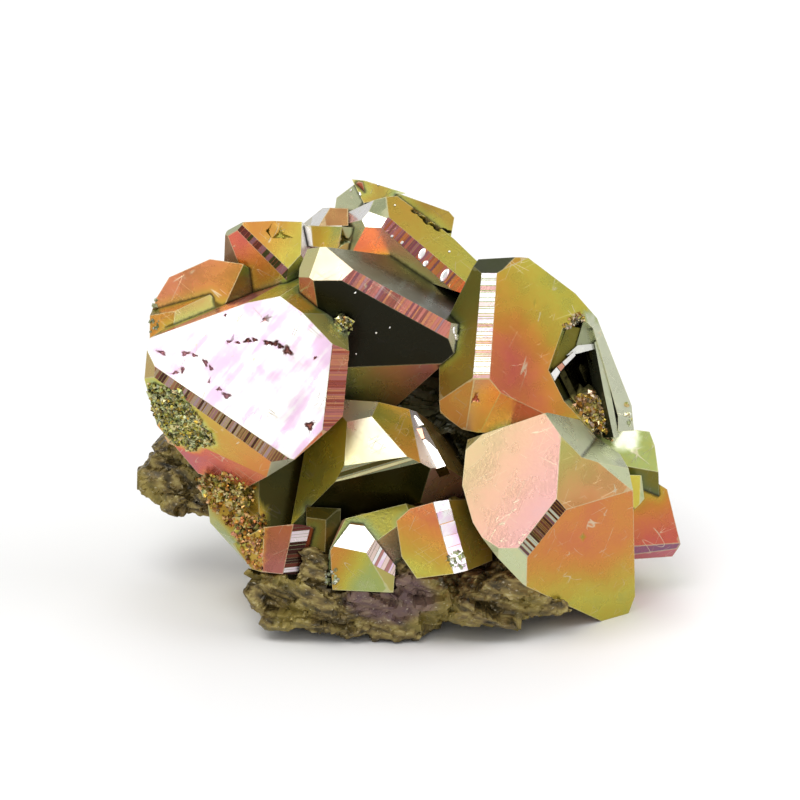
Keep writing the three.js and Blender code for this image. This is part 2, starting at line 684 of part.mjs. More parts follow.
const big = leftCrystal();
const tall = tallCrystal();
const crystals = [
  big.faces,
  ...shoulderCrystals(),
  upperLeftCrystal(),
  ...topCrystals(),
  ...saddleCrystals(),
  middleCrystal(),
  tall.faces,
  pinkCrystal(),
  lowerMiddleCrystal(),
  ...footCrystals(),
  ...edgeCrystals(),
  ...druse(big.lower),
];
const mouth = hollow(tall.right);
const cluster = join(crystals.map((c) => carve(c))).subtract(carve(mouth));
const room = join(crystals.map((c) => carve(c, NODE_GAP)));
const rock = join(rockLumps().map((c) => carve(c))).subtract(room).subtract(carve(mouth));

// A solid as a mesh with its own material.
function part(name, solid, color, roughness, metalness) {
  const m = solid.getMesh();
  const g = new THREE.BufferGeometry();
  g.setAttribute('position', new THREE.BufferAttribute(new Float32Array(m.vertProperties), 3));
  g.setIndex(new THREE.BufferAttribute(new Uint32Array(m.triVerts), 1));
  const mesh = new THREE.Mesh(g, new THREE.MeshStandardMaterial({ color, roughness, metalness, flatShading: true }));
  mesh.name = name;
  return mesh;
}

const crust = hollowCrust(mouth, tall.right);
const [crystalSolid, rockSolid, crustSolid] = centred([cluster, rock, crust].map((s) => whole(onShelf(s))));

const specimen = new THREE.Group();
specimen.name = 'chalcopyrite_on_pyrite';
specimen.add(part('crystal_cluster', crystalSolid, 0xb98a4a, 0.25, 0.9));
specimen.add(part('matrix', rockSolid, 0x8a7350, 0.6, 0.4));
specimen.add(part('vug_crust', crustSolid, 0xa88a3c, 0.35, 0.85));

export default specimen;
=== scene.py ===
"""An iridescent cluster of chalcopyrite and pyrite crystals on a piece of rock.

The crystals, the rock and the lining of the small hollow stand where their
solids are. Lengths in this file are millimetres unless a name says metres.
A place on the front is given as (u, v): u to the right and v up, as seen by
the camera, which looks down by the angle LEAN.
"""

import logging
import math
from dataclasses import dataclass, field
from enum import Enum

import bpy
import numpy as np
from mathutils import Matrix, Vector, noise
from mathutils.bvhtree import BVHTree


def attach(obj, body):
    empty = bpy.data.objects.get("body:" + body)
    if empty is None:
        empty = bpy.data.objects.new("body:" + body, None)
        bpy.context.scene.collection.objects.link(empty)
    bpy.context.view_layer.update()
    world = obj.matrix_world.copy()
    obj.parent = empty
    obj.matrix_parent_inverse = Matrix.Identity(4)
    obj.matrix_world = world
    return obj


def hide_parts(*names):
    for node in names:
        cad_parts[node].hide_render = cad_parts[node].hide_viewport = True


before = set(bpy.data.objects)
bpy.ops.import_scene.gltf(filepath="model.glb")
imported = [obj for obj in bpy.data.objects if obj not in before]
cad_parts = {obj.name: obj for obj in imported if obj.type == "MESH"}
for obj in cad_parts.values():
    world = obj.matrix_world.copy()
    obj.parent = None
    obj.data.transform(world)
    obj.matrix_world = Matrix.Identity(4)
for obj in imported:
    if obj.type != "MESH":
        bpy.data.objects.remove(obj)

Array = np.ndarray
Piece = bpy.types.Object
Socket = bpy.types.NodeSocket
Pair = tuple[float, float]
Outline = tuple[Pair, ...]
Rgb = tuple[int, int, int]

LOG = logging.getLogger("specimen")
MM = 0.001
LEAN = math.radians(20.0)
SIN, COS = math.sin(LEAN), math.cos(LEAN)
AHEAD = Vector((0, COS, -SIN))
TO_CAMERA = np.array([0, -COS, SIN])
# where the view's zero lies on the table, and how far off its rays start
REST_NEAR = 1.5
SHIFT_X, SHIFT_Y = 0.149, -11.793
FAR = 200.0
# distance given to a place with no edge near it
CLEAR = 9.0
# depth behind which a patch no longer colours the faces
PATCH_DEPTH = -8
# reach of the finer mesh around a pit, in pit sizes, and how much coarser the back is
PIT_RIM = 1.6
BACK_GRAIN = 1.4


def from_view(u: float, v: float, w: float) -> Array:
    """Turn a place seen by the camera into x, y and z; w runs toward the camera."""
    near = w - REST_NEAR
    return np.array([u + SHIFT_X, v * SIN - near * COS + SHIFT_Y, v * COS + near * SIN])


def to_view(points: Array) -> Array:
    """Turn rows of x, y and z into rows of u, v and w as seen by the camera."""
    y = points[:, 1] - SHIFT_Y
    u = points[:, 0] - SHIFT_X
    return np.stack([u, y * SIN + points[:, 2] * COS, points[:, 2] * SIN - y * COS + REST_NEAR], 1)


def lay(u: float, v: float, normal: Array) -> tuple[Array, Array]:
    """Lay a direction of the view flat on a face.

    Args:
        u: Its share to the right.
        v: Its share upward.
        normal: The face's direction.

    Returns:
        Unit vectors along it and across it.
    """
    along = from_view(u, v, 0) - from_view(0, 0, 0)
    along -= normal * (along @ normal)
    along /= np.linalg.norm(along)
    return along, np.cross(normal, along)


def cast(tree: BVHTree, u: float, v: float) -> tuple:
    """Find the point, normal and triangle that the camera sees at a place."""
    return tree.ray_cast(Vector(from_view(u, v, FAR)), AHEAD)[:3]


def ink(*shares: int) -> tuple[float, ...]:
    """Turn red, green and blue from 0 to 255 into a shader's linear colour."""
    parts = [k / 255 for k in shares]
    return (*(k / 12.92 if k <= 0.04045 else ((k + 0.055) / 1.055) ** 2.4 for k in parts), 1.0)


class Film(Enum):
    """Colour of the tarnish film, as a place on the film's ramp."""

    GREY = 0.0
    GREEN = 0.1
    OLIVE = 0.22
    MUSTARD = 0.34
    GOLD = 0.46
    AMBER = 0.53
    CORAL = 0.6
    RED = 0.72
    ROSE = 0.84
    MAUVE = 0.93
    VIOLET = 1.0


GREY, GREEN, OLIVE, MUSTARD, GOLD, AMBER, CORAL, RED, ROSE, MAUVE, VIOLET = Film
FILM_INKS = {
    GREY: (178, 184, 142), GREEN: (158, 170, 98), OLIVE: (186, 176, 70), MUSTARD: (190, 155, 58),
    GOLD: (200, 138, 58), AMBER: (206, 132, 62), CORAL: (204, 120, 70), RED: (196, 98, 80),
    ROSE: (172, 98, 108), MAUVE: (130, 84, 104), VIOLET: (92, 88, 122),
}


@dataclass(frozen=True)
class Tone:
    """Finish of a face at one place.

    Attributes:
        u: Place to the right.
        v: Place up.
        film: Colour of the film.
        wash: Share of white laid over the film, mostly painted highlight, from 0 to 1.
        shade: Share of darkness, from 0 to 1, mostly painted shade and painted dark reflection.
    """

    u: float
    v: float
    film: Film
    wash: float = 0.0
    shade: float = 0.0

    def values(self) -> Array:
        """Give the film, wash and shade as three numbers."""
        return np.array([self.film.value, self.wash, self.shade])


@dataclass(frozen=True)
class Face:
    """Finish of one crystal face, running from one tone to another.

    Attributes:
        at: A place on the face.
        start: The tone where the run starts.
        end: The tone where it ends.
    """

    at: Pair
    start: Tone
    end: Tone


def plain(u: float, v: float, film: Film, wash: float = 0.0, shade: float = 0.0) -> Face:
    """Give the face at a place one tone all over."""
    return Face((u, v), Tone(u, v, film, wash, shade), Tone(u + 1, v, film, wash, shade))


# in these notes wash is mostly painted highlight, and shade mostly painted shade and dark reflection
FACES = (
    # the broad crystal on the left
    Face((-20, 30), Tone(-25, 31, ROSE, 0.97, 0.12), Tone(-12, 24, ROSE, 0.9, 0.33)),
    Face((-20, 21), Tone(-26, 21.5, OLIVE), Tone(-16, 17.5, AMBER)),
    Face((-7.9, 27), Tone(-8, 32, CORAL, 0.1, 0.1), Tone(-8, 23, ROSE, 0, 0.1)),
    plain(-14.7, 18.1, GREY, 0.4),
    plain(-28.4, 28.8, MUSTARD, 0.15, 0.35),
    # the two crystals above it
    Face((-23.5, 37.5), Tone(-25, 39, CORAL, 0.05, 0.22), Tone(-21, 35.5, GOLD, 0, 0.2)),
    plain(-27, 34, GOLD, 0, 0.1),
    plain(-26, 35.5, MUSTARD, 0, 0.5),
    plain(-22.3, 35.9, MUSTARD, 0.1),
    plain(-18.3, 37.8, OLIVE, 0, 0.5),
    Face((-17, 40.5), Tone(-18.5, 42.5, RED), Tone(-15, 37.5, OLIVE)),
    Face((-14.5, 42.5), Tone(-16.5, 43.5, GOLD, 0, 0.35), Tone(-12.3, 41.5, OLIVE, 0, 0.35)),
    plain(-19.9, 41.1, GOLD, 0, 0.7),
    plain(-19.7, 43.8, GREY, 0.1),
    plain(-12.8, 39.3, OLIVE, 0.1),
    plain(-14.5, 37.2, OLIVE),
    plain(-12.7, 36.6, OLIVE, 0, 0.25),
    plain(-9.3, 33.7, OLIVE, 0.1),
    # the facets between them and the top, painted white as highlight
    plain(-11.6, 42.1, GREEN, 1.0),
    plain(-11.3, 44.1, GREEN, 1.0),
    plain(-10.4, 45.0, GREEN, 1.0),
    plain(-5.6, 45.8, GREY, 1.0),
    plain(-5.7, 44.4, GREY, 0, 0.15),
    # the crystal at the top
    Face((-2, 42), Tone(-4, 43.5, RED, 0.2), Tone(-1, 39.3, MUSTARD, 0.15)),
    Face((2.5, 43), Tone(-1, 46, MUSTARD, 0, 0.28), Tone(5.5, 40, OLIVE, 0, 0.3)),
    plain(-5, 45.3, GREY, 1.0),
    plain(3.7, 45.3, MUSTARD, 0, 0.62),
    plain(-3.4, 46.6, GREY, 0, 0.3),
    Face((-3.5, 48.2), Tone(-5, 48.5, MUSTARD, 0, 0.72), Tone(0, 47.5, OLIVE, 0, 0.76)),
    plain(-7.2, 47.8, GREY, 0.1),
    Face((-9.5, 43.5), Tone(-10, 43.5, MUSTARD), Tone(-8.3, 43, GREEN)),
    plain(-8.7, 45.3, GOLD, 0.05, 0.78),
    plain(-6.6, 42.8, GREY, 0, 0.1),
    # the crystal with the long bar, its broad face painted near black as a dark reflection
    plain(-11.3, 40.5, OLIVE, 0.25),
    Face((-9, 40), Tone(-10.5, 41, OLIVE, 0.4, 0.42), Tone(-7.5, 39, AMBER, 0.5, 0.42)),
    plain(-4, 34, OLIVE, 0, 0.985),
    Face((-2, 39), Tone(-5, 40.5, OLIVE, 0, 0.88), Tone(4, 36, GREEN, 0, 0.96)),
    Face((-3, 26.5), Tone(-7, 26, GREEN, 0.12), Tone(1.5, 28.5, RED, 0.15)),
    plain(4.7, 32.3, MUSTARD, 0.85),
    plain(-11.3, 37.5, RED, 0.1, 0.1),
    # the tall crystal on the right
    Face((13, 33), Tone(9.0, 28, CORAL), Tone(17.5, 35, OLIVE)),
    Face((6.3, 35), Tone(6, 37, OLIVE, 0, 0.74), Tone(6, 29, MUSTARD, 0, 0.55)),
    plain(10, 40.8, GREY, 0, 0.85),
    plain(8, 24.5, GOLD, 0.15, 0.4),
    plain(10.8, 24.2, GOLD, 0.22),
    plain(4.8, 25.2, GOLD, 0, 0.4),
    # the large crystal at the lower right
    Face((11, 16), Tone(6.5, 19, MUSTARD, 0.26), Tone(14.5, 14, RED, 0.34)),
    Face((18.8, 17), Tone(16.8, 20.5, OLIVE, 0.1), Tone(20, 15.8, GOLD, 0.1)),
    Face((20, 10), Tone(19, 9.5, AMBER, 0, 0.26), Tone(20, 3.5, OLIVE, 0, 0.12)),
    plain(19.5, 21.2, GREY, 0.2),
    plain(20.7, 19.6, GREY, 0, 0.4),
    plain(23.3, 17.2, GREY, 0.1),
    plain(11.8, 6.8, GREEN, 0.25),
    # the rim of the hollow
    plain(21.1, 28.9, GREY, 0.55),
    plain(20.0, 32.5, GREY, 0.55),
    plain(22.5, 23.2, GREY, 0.5),
    plain(19.3, 33.5, GREY, 0.3),
    plain(18.1, 33.5, GREEN, 0.35),
    plain(17.0, 32.4, OLIVE, 0, 0.1),
    plain(17.7, 25.0, OLIVE, 0.1),
    plain(15.9, 28.1, OLIVE, 0, 0.85),
    # the crystal in the middle, gold above, with a face painted black as a dark reflection
    Face((-4, 20.5), Tone(-6.5, 19, OLIVE, 0.3, 0.42), Tone(-3, 21.5, OLIVE, 0.55, 0.42)),
    plain(-5, 24.2, GREEN, 0.4),
    Face((-1, 22), Tone(-1, 20, GOLD), Tone(-1, 23.5, OLIVE)),
    plain(4.6, 18.9, MUSTARD, 0.1),
    plain(2.2, 19, MUSTARD, 1.0),
    plain(3.4, 17, RED, 0.3),
    plain(-3, 15.5, OLIVE, 0, 0.95),
    plain(-3, 12, OLIVE, 0, 0.5),
    plain(-9.5, 18.5, OLIVE),
    plain(6.5, 20.7, OLIVE, 0.15),
    # the row of small crystals along the foot
    plain(-5.5, 10, GREY, 1.0),
    Face((-6.5, 7.3), Tone(-8, 8, GOLD, 0, 0.3), Tone(-5, 6, GREEN, 0, 0.25)),
    plain(-2.9, 7.0, OLIVE, 0.1, 0.25),
    plain(-2.3, 9.6, OLIVE, 0.35),
    Face((1.5, 10.5), Tone(2, 12.5, CORAL, 0, 0.35), Tone(-0.5, 7.5, OLIVE, 0, 0.35)),
    plain(5.5, 12, OLIVE, 0, 0.1),
    Face((-14.6, 9.2), Tone(-14.5, 11, CORAL, 0, 0.55), Tone(-14.5, 7, RED, 0.1, 0.5)),
    plain(-17.4, 8.9, MUSTARD, 0, 0.3),
    plain(-10.1, 9.6, MUSTARD, 0, 0.72),
    plain(-8.4, 11.8, OLIVE, 0, 0.9),
    plain(-10.4, 12.9, OLIVE, 0, 0.85),
    plain(-8.9, 7.4, OLIVE, 0, 0.65),
    plain(-14.6, 15.1, OLIVE, 0, 0.9),
    Face((-20, 12), Tone(-20.5, 14, OLIVE, 0.15), Tone(-18.5, 8.5, GREY, 0.2)),
    # the crystals at the right edge
    Face((27, 12), Tone(26.5, 15, GOLD), Tone(28.3, 10.5, RED)),
    plain(27.5, 8.8, MAUVE, 0, 0.1),
    plain(26.5, 16.6, OLIVE, 0, 0.75),
    plain(25.5, 20, GREEN, 0, 0.45),
    plain(24.8, 15.5, OLIVE, 0, 0.1),
)


def inner(outline: tuple, view: Array) -> Array:
    """Find how far places lie inside a convex, counterclockwise outline, below 0 outside."""
    best = np.full(len(view), CLEAR)
    for (a, b), (c, d) in zip(outline, outline[1:] + outline[:1]):
        length = math.hypot(c - a, d - b)
        best = np.minimum(best, ((c - a) * (view[:, 1] - b) - (d - b) * (view[:, 0] - a)) / length)
    return best


@dataclass(frozen=True)
class Patch:
    """A tone over part of the faces, inside an outline seen by the camera.

    Attributes:
        outline: Corners of the outline, counterclockwise.
        film: Colour of the film.
        wash: Share of white light.
        shade: Share of darkness.
        soft: Width of the blend at the outline.
    """

    outline: Outline
    film: Film
    wash: float = 0.0
    shade: float = 0.0
    soft: float = 0.6

    def lay_on(self, tones: Array, view: Array) -> None:
        """Blend the tone into rows of film, wash and shade at their places."""
        share = np.clip(inner(self.outline, view) / self.soft + 0.5, 0, 1) * (view[:, 2] > PATCH_DEPTH)
        tones += (np.array([self.film.value, self.wash, self.shade]) - tones) * share[:, None]


PATCHES = (
    # the grey slab beside the hollow
    Patch(((22.5, 20.0), (25.2, 19.8), (25.2, 23), (22.6, 30.5), (20.2, 34.9), (19.2, 34.9)),
          GREY, 0.3, 0, 0.3),
    # redder clouds on the large faces of the right
    Patch(((9.3, 25.6), (13.5, 25.8), (13.8, 30), (11.5, 33), (9.0, 32)), RED, 0, 0.12, 5.0),
    Patch(((16.5, 8.5), (20.5, 7.5), (22.0, 10.5), (19.5, 13.0), (16.8, 11.5)), CORAL, 0, 0.24, 5.0),
    # the druse on the left crystal and the druse under it
    Patch(((-28.8, 27.2), (-28.2, 24), (-26.6, 21), (-24, 19.6), (-21.2, 20.6), (-25, 26.4)), OLIVE, 0.1),
    Patch(((-23.5, 17), (-22.4, 14), (-19, 9.6), (-16.2, 6.6), (-15.8, 13), (-17.8, 15.8)),
          MUSTARD, 0, 0.1),
)


@dataclass(frozen=True)
class Pit:
    """A growth pit in a face.

    Attributes:
        u: Place to the right.
        v: Place up.
        size: Half the width.
        deep: Depth.
        film: Colour inside.
        shade: Darkness inside.
        slim: Width across its long way, as a share of its length.
        turn: Turn of its long way, in degrees from the right.
    """

    u: float
    v: float
    size: float
    deep: float = 0.3
    film: Film = RED
    shade: float = 0.75
    slim: float = 1.0
    turn: float = 0.0


PITS = (
    Pit(-19.8, 31.7, 0.35, 0.2, ROSE, 0.3, 0.4, 5), Pit(-18.9, 31.6, 0.3, 0.2, RED, 0.5, 0.4, -10),
    Pit(-17.8, 31.8, 0.45, 0.3, RED, 0.7, 0.5, 10), Pit(-17.0, 31.9, 0.3, 0.3, RED, 0.6, 0.6, -20),
    Pit(-15.6, 31.6, 0.5, 0.3, RED, 0.7, 0.45, -5), Pit(-14.8, 31.5, 0.45, 0.3, RED, 0.8, 0.6, 20),
    Pit(-14.2, 31.2, 0.4, 0.3, RED, 0.8, 0.6, -30), Pit(-13.4, 30.7, 0.6, 0.3, RED, 0.75, 0.7, -45),
    Pit(-11.0, 22.5, 0.45, 0.3, RED, 0.75), Pit(-16.0, 34.2, 0.16, 0.2, RED, 0.6),
    Pit(-20.2, 34.6, 0.2, 0.2, RED, 0.4, 0.5, 60), Pit(-10.4, 29.9, 0.22, 0.2, RED, 0.4, 0.5, 40),
    Pit(-27.2, 30.5, 0.55, 0.2, ROSE, 0.35, 0.35, -25), Pit(-24.6, 30.4, 0.5, 0.2, ROSE, 0.35, 0.5, 10),
    Pit(-23.6, 30.2, 0.35, 0.2, ROSE, 0.3, 0.5, -15), Pit(-24.9, 28.6, 0.4, 0.2, ROSE, 0.35, 0.45, 80),
    Pit(-25.7, 28.3, 0.4, 0.2, ROSE, 0.25, 0.4, 20), Pit(-22.4, 29.4, 0.45, 0.2, ROSE, 0.45, 0.5, -60),
    Pit(-21.8, 28.8, 0.35, 0.2, ROSE, 0.4, 0.5, -60), Pit(-20.9, 26.5, 0.3, 0.2, ROSE, 0.35, 0.6, 0),
    Pit(-20.1, 25.8, 0.5, 0.2, ROSE, 0.5, 0.6, -20), Pit(-22.0, 27.3, 0.2, 0.15, ROSE, 0.2, 0.5, 80),
    Pit(-14.2, 43.5, 0.5, 0.3, OLIVE, 0.5), Pit(-15.6, 43.9, 0.3, 0.3, OLIVE, 0.5, 0.5, 80),
    Pit(-7.2, 42.9, 0.5, 0.4, OLIVE, 0.85), Pit(7.2, 25.4, 0.35, 0.2, RED, 0.4),
    Pit(0.7, 46.1, 0.7, 0.4, OLIVE, 0.9, 0.45, -40), Pit(1.7, 45.2, 0.8, 0.5, OLIVE, 0.93, 0.4, -35),
    Pit(2.9, 44.4, 0.8, 0.5, OLIVE, 0.93, 0.4, -25), Pit(4.0, 43.9, 0.6, 0.4, OLIVE, 0.9, 0.4, -15),
    Pit(13.6, 36.0, 0.12, 0.1, OLIVE, 0.5), Pit(19.0, 10.2, 0.14, 0.1, OLIVE, 0.5),
    Pit(24.6, 13.4, 0.12, 0.1, OLIVE, 0.5),
)


@dataclass(frozen=True)
class Bars:
    """A striated strip: steps that cross a narrow face.

    Attributes:
        at: A place on the strip's face.
        run: The direction the steps follow each other in, as (u, v).
        pitch: Smallest and largest step.
        tones: Finishes the steps take in turn, chosen by chance.
        end: Finishes at the far end, mixed in along the run.
        lift: Largest height of a step.
        groove: Width of the groove between two steps.
        span: Share of the face's width that the steps take, from and to.
    """

    at: Pair
    run: Pair
    pitch: Pair
    tones: tuple[tuple[Film, float, float], ...]
    end: tuple[tuple[Film, float, float], ...] = ()
    lift: float = 0.1
    groove: float = 0.04
    span: Pair = (0.0, 1.0)


# in these tones wash is painted highlight, strongest in the white steps
BROWN_BARS = (
    (CORAL, 0.12, 0.62), (CORAL, 0.1, 0.75), (RED, 0.25, 0.58), (RED, 0.05, 0.9),
    (GOLD, 0.35, 0.55), (ROSE, 0.35, 0.5),
)
ROSE_BARS = ((RED, 0.15, 0.3), (ROSE, 0.2, 0.2), (RED, 0.1, 0.5), (ROSE, 0.05, 0.45))
HIGHLIGHT_BARS = (
    (ROSE, 1.0, 0), (ROSE, 0.97, 0), (RED, 0.6, 0), (ROSE, 1.0, 0), (RED, 0.35, 0.1),
    (GREY, 1.0, 0),
)
DARK_BARS = ((RED, 0, 0.93), (ROSE, 0.1, 0.75), (RED, 0, 0.85), (GREY, 0.4, 0.45))
STRIPS = (
    Bars((-21.1, 23.6), (15, -10), (0.16, 0.42), BROWN_BARS, lift=0.07),
    Bars((-7.9, 27), (0, -1), (0.12, 0.26), ((CORAL, 0.1, 0.15), (RED, 0.1, 0.2), (RED, 0, 0.4))),
    Bars((-16.1, 41.8), (5, -4.7), (0.25, 0.6), ((OLIVE, 0, 0.93), (ROSE, 0.1, 0.55), (RED, 0, 0.8))),
    Bars(
        (-1, 43.3), (7.7, -6.6), (0.18, 0.4), ((ROSE, 0.05, 0.25), (RED, 0, 0.3), (ROSE, 0, 0.45)),
        ((RED, 0.05, 0.2), (CORAL, 0, 0.2)),
    ),
    Bars((-1.5, 36.6), (9, -6.2), (0.16, 0.4), ROSE_BARS, ((RED, 0.12, 0.1), (CORAL, 0.1, 0.15))),
    Bars((8.3, 33.5), (0, -1), (0.14, 0.62), HIGHLIGHT_BARS, groove=0.09),
    Bars((14.6, 11.5), (1, 1), (0.16, 0.34), DARK_BARS),
    Bars((-2.9, 7.6), (1, -0.5), (0.25, 0.5), ((ROSE, 1, 0), (RED, 0.2, 0.25), (CORAL, 0.6, 0)),
         span=(0.42, 1.0)),
    Bars((4.3, 11.8), (0.3, -1), (0.5, 1.4), ((ROSE, 1, 0), (ROSE, 0.95, 0))),
    Bars((-12.2, 9.7), (0.1, -1), (0.2, 0.5), ((RED, 0, 0.93), (RED, 0, 0.8), (ROSE, 0.7, 0))),
    Bars((-4, 18), (0.3, -1), (0.2, 0.45), ((OLIVE, 0, 0.9), (OLIVE, 0.3, 0), (GREY, 0, 0.6))),
)


def read_solid(node: str) -> tuple[Array, Array]:
    """Read a solid's corners, in millimetres and each once, and its triangles."""
    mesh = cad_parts[node].data
    mesh.calc_loop_triangles()
    flat = np.empty(len(mesh.vertices) * 3)
    mesh.vertices.foreach_get("co", flat)
    triangles = np.empty(len(mesh.loop_triangles) * 3, np.int32)
    mesh.loop_triangles.foreach_get("vertices", triangles)
    points = flat.reshape(-1, 3) / MM
    _, first, same = np.unique(np.round(points, 3), axis=0, return_index=True, return_inverse=True)
    rows = same.reshape(-1)[triangles].reshape(-1, 3)
    whole = (rows[:, 0] != rows[:, 1]) & (rows[:, 1] != rows[:, 2]) & (rows[:, 2] != rows[:, 0])
    return points[first], rows[whole]


def normals_of(points: Array, triangles: Array) -> Array:
    """Find each triangle's unit normal."""
    a, b, c = (points[triangles[:, k]] for k in range(3))
    cross = np.cross(b - a, c - a)
    return cross / np.maximum(np.linalg.norm(cross, axis=1), 1e-12)[:, None]


def edges_of(triangles: Array) -> tuple[Array, Array]:
    """List each edge once, as a sorted pair, and the numbers of each triangle's edges."""
    pairs = np.concatenate([triangles[:, [0, 1]], triangles[:, [1, 2]], triangles[:, [2, 0]]])
    pairs = pairs.astype(np.int64)
    count = int(pairs.max()) + 1
    keys, owner = np.unique(pairs.min(1) * count + pairs.max(1), return_inverse=True)
    return np.stack([keys // count, keys % count], 1), owner.reshape(3, -1).T


def refine(points: Array, triangles: Array, tags: Array, longest) -> tuple:
    """Halve long edges until every one is short enough.

    Args:
        points: Corners.
        triangles: Rows of three corner numbers.
        tags: One number for each triangle, passed on to its parts.
        longest: Gives the longest edge allowed at each of some places.

    Returns:
        The new corners, triangles and tags.
    """
    for _ in range(40):
        edges, owned = edges_of(triangles)
        ends = points[edges]
        length = np.linalg.norm(ends[:, 0] - ends[:, 1], axis=1)
        middle = ends.mean(1)
        over = length > longest(middle)
        longest_owned = owned[np.arange(len(owned)), length[owned].argmax(1)]
        cut = np.zeros(len(edges), bool)
        cut[longest_owned[over[longest_owned]]] = True
        if not cut.any():
            break
        number = np.full(len(edges), -1)
        number[cut] = len(points) + np.arange(cut.sum())
        points = np.concatenate([points, middle[cut]])
        mid = number[owned]
        count = (mid >= 0).sum(1)
        parts, marks = [triangles[count == 0]], [tags[count == 0]]

        def keep(rows: Array, *shapes: tuple) -> None:
            """Add the parts that some triangles are cut into."""
            for shape in shapes:
                parts.append(np.stack(shape, 1)[rows])
                marks.append(tags[rows])

        for k in range(3):
            a, b, c = (triangles[:, (k + j) % 3] for j in range(3))
            ab, bc, ca = (mid[:, (k + j) % 3] for j in range(3))
            keep((count == 1) & (ab >= 0), (a, ab, c), (ab, b, c))
            keep((count == 2) & (ca < 0), (ab, b, bc), (a, ab, bc), (a, bc, c))
        a, b, c = triangles.T
        ab, bc, ca = mid.T
        keep(count == 3, (a, ab, ca), (ab, b, bc), (ca, bc, c), (ab, bc, ca))
        triangles, tags = np.concatenate(parts), np.concatenate(marks)
    return points, triangles, tags


def to_segments(places: Array, starts: Array, ends: Array) -> Array:
    """Find how far places are from the nearest of some lines, given by their two ends."""
    along = ends - starts
    square = np.maximum((along**2).sum(1), 1e-12)
    best = np.full(len(places), CLEAR)
    for start, way, size in zip(starts, along, square):
        t = np.clip(((places - start) @ way) / size, 0, 1)
        best = np.minimum(best, np.linalg.norm(places - start - t[:, None] * way, axis=1))
    return best


def new_object(name: str, points: Array, faces: list | Array) -> Piece:
    """Make an object from corners in millimetres and rows of corner numbers."""
    mesh = bpy.data.meshes.new(name)
    rows = faces.tolist() if isinstance(faces, Array) else faces
    mesh.from_pydata((points * MM).tolist(), [], rows)
    mesh.update()
    piece = bpy.data.objects.new(name, mesh)
    bpy.context.scene.collection.objects.link(piece)
    return piece


def set_corners(mesh: bpy.types.Mesh, name: str, values: Array) -> None:
    """Store one number for each corner of each face, under the name a finish reads."""
    layer = mesh.attributes.new(name, "FLOAT", "CORNER")
    layer.data.foreach_set("value", values.astype(np.float32))


@dataclass
class Facets:
    """The flat faces of the grown crystals.

    Attributes:
        node: Name of the solid they belong to.
        turn: Largest bend, in degrees, inside one flat face.
        corner: Smallest bend, in degrees, that counts as an edge of a face.
        points: Corners of the solid.
        triangles: Its triangles.
        facet: Number of the flat face each triangle belongs to.
        normal: Direction of each triangle.
        tree: The surface, for rays.
    """

    node: str = "crystal_cluster"
    turn: float = 1.2
    corner: float = 8.0
    points: Array = field(init=False)
    triangles: Array = field(init=False)
    facet: Array = field(init=False)
    normal: Array = field(init=False)
    tree: BVHTree = field(init=False)

    def __post_init__(self) -> None:
        """Read the solid and group its triangles into flat faces."""
        self.points, self.triangles = read_solid(self.node)
        self.normal = normals_of(self.points, self.triangles)
        self.edges, self.owned = edges_of(self.triangles)
        self.sides = np.full((len(self.edges), 2), -1)
        for k in range(3):
            for row, edge in enumerate(self.owned[:, k]):
                self.sides[edge, int(self.sides[edge, 0] >= 0)] = row
        self.facet = self._group()
        self.tree = BVHTree.FromPolygons(self.points.tolist(), self.triangles.tolist())
        LOG.info("%d flat faces in %d triangles", self.facet.max() + 1, len(self.triangles))

    def _group(self) -> Array:
        """Give the number of the flat face each triangle belongs to."""
        root = np.arange(len(self.triangles))

        def find(k: int) -> int:
            """Follow the links to a group's first triangle."""
            while root[k] != k:
                root[k] = root[root[k]]
                k = root[k]
            return k

        limit = math.cos(math.radians(self.turn))
        for a, b in self.sides:
            if b >= 0 and self.normal[a] @ self.normal[b] > limit:
                root[find(a)] = find(b)
        _, numbers = np.unique([find(k) for k in range(len(root))], return_inverse=True)
        return numbers.reshape(-1)

    def hit(self, u: float, v: float) -> tuple[int, Array] | None:
        """Find the triangle the camera sees at a place, and the point on it."""
        place, _, row = cast(self.tree, u, v)
        if place is None:
            LOG.warning("no crystal at %s", (u, v))
            return None
        return row, np.array(place)

    def borders(self, number: int) -> tuple[Array, Array]:
        """Split a flat face's outline into proud and sunk edges.

        Args:
            number: The flat face.

        Returns:
            Edge numbers where the solid bends away, and where it bends back.
        """
        own = np.unique(self.owned[self.facet == number])
        a, b = self.sides[own].T
        edge = (b >= 0) & (self.facet[a] != self.facet[b])
        own, a, b = own[edge], a[edge], b[edge]
        ours = np.where(self.facet[a] == number, a, b)
        theirs = np.where(self.facet[a] == number, b, a)
        middle = self.points[self.triangles].mean(1)
        rise = ((middle[theirs] - middle[ours]) * self.normal[ours]).sum(1)
        bend = (self.normal[ours] * self.normal[theirs]).sum(1) < math.cos(math.radians(self.corner))
        return own[bend & (rise < 0)], own[bend & (rise >= 0)]


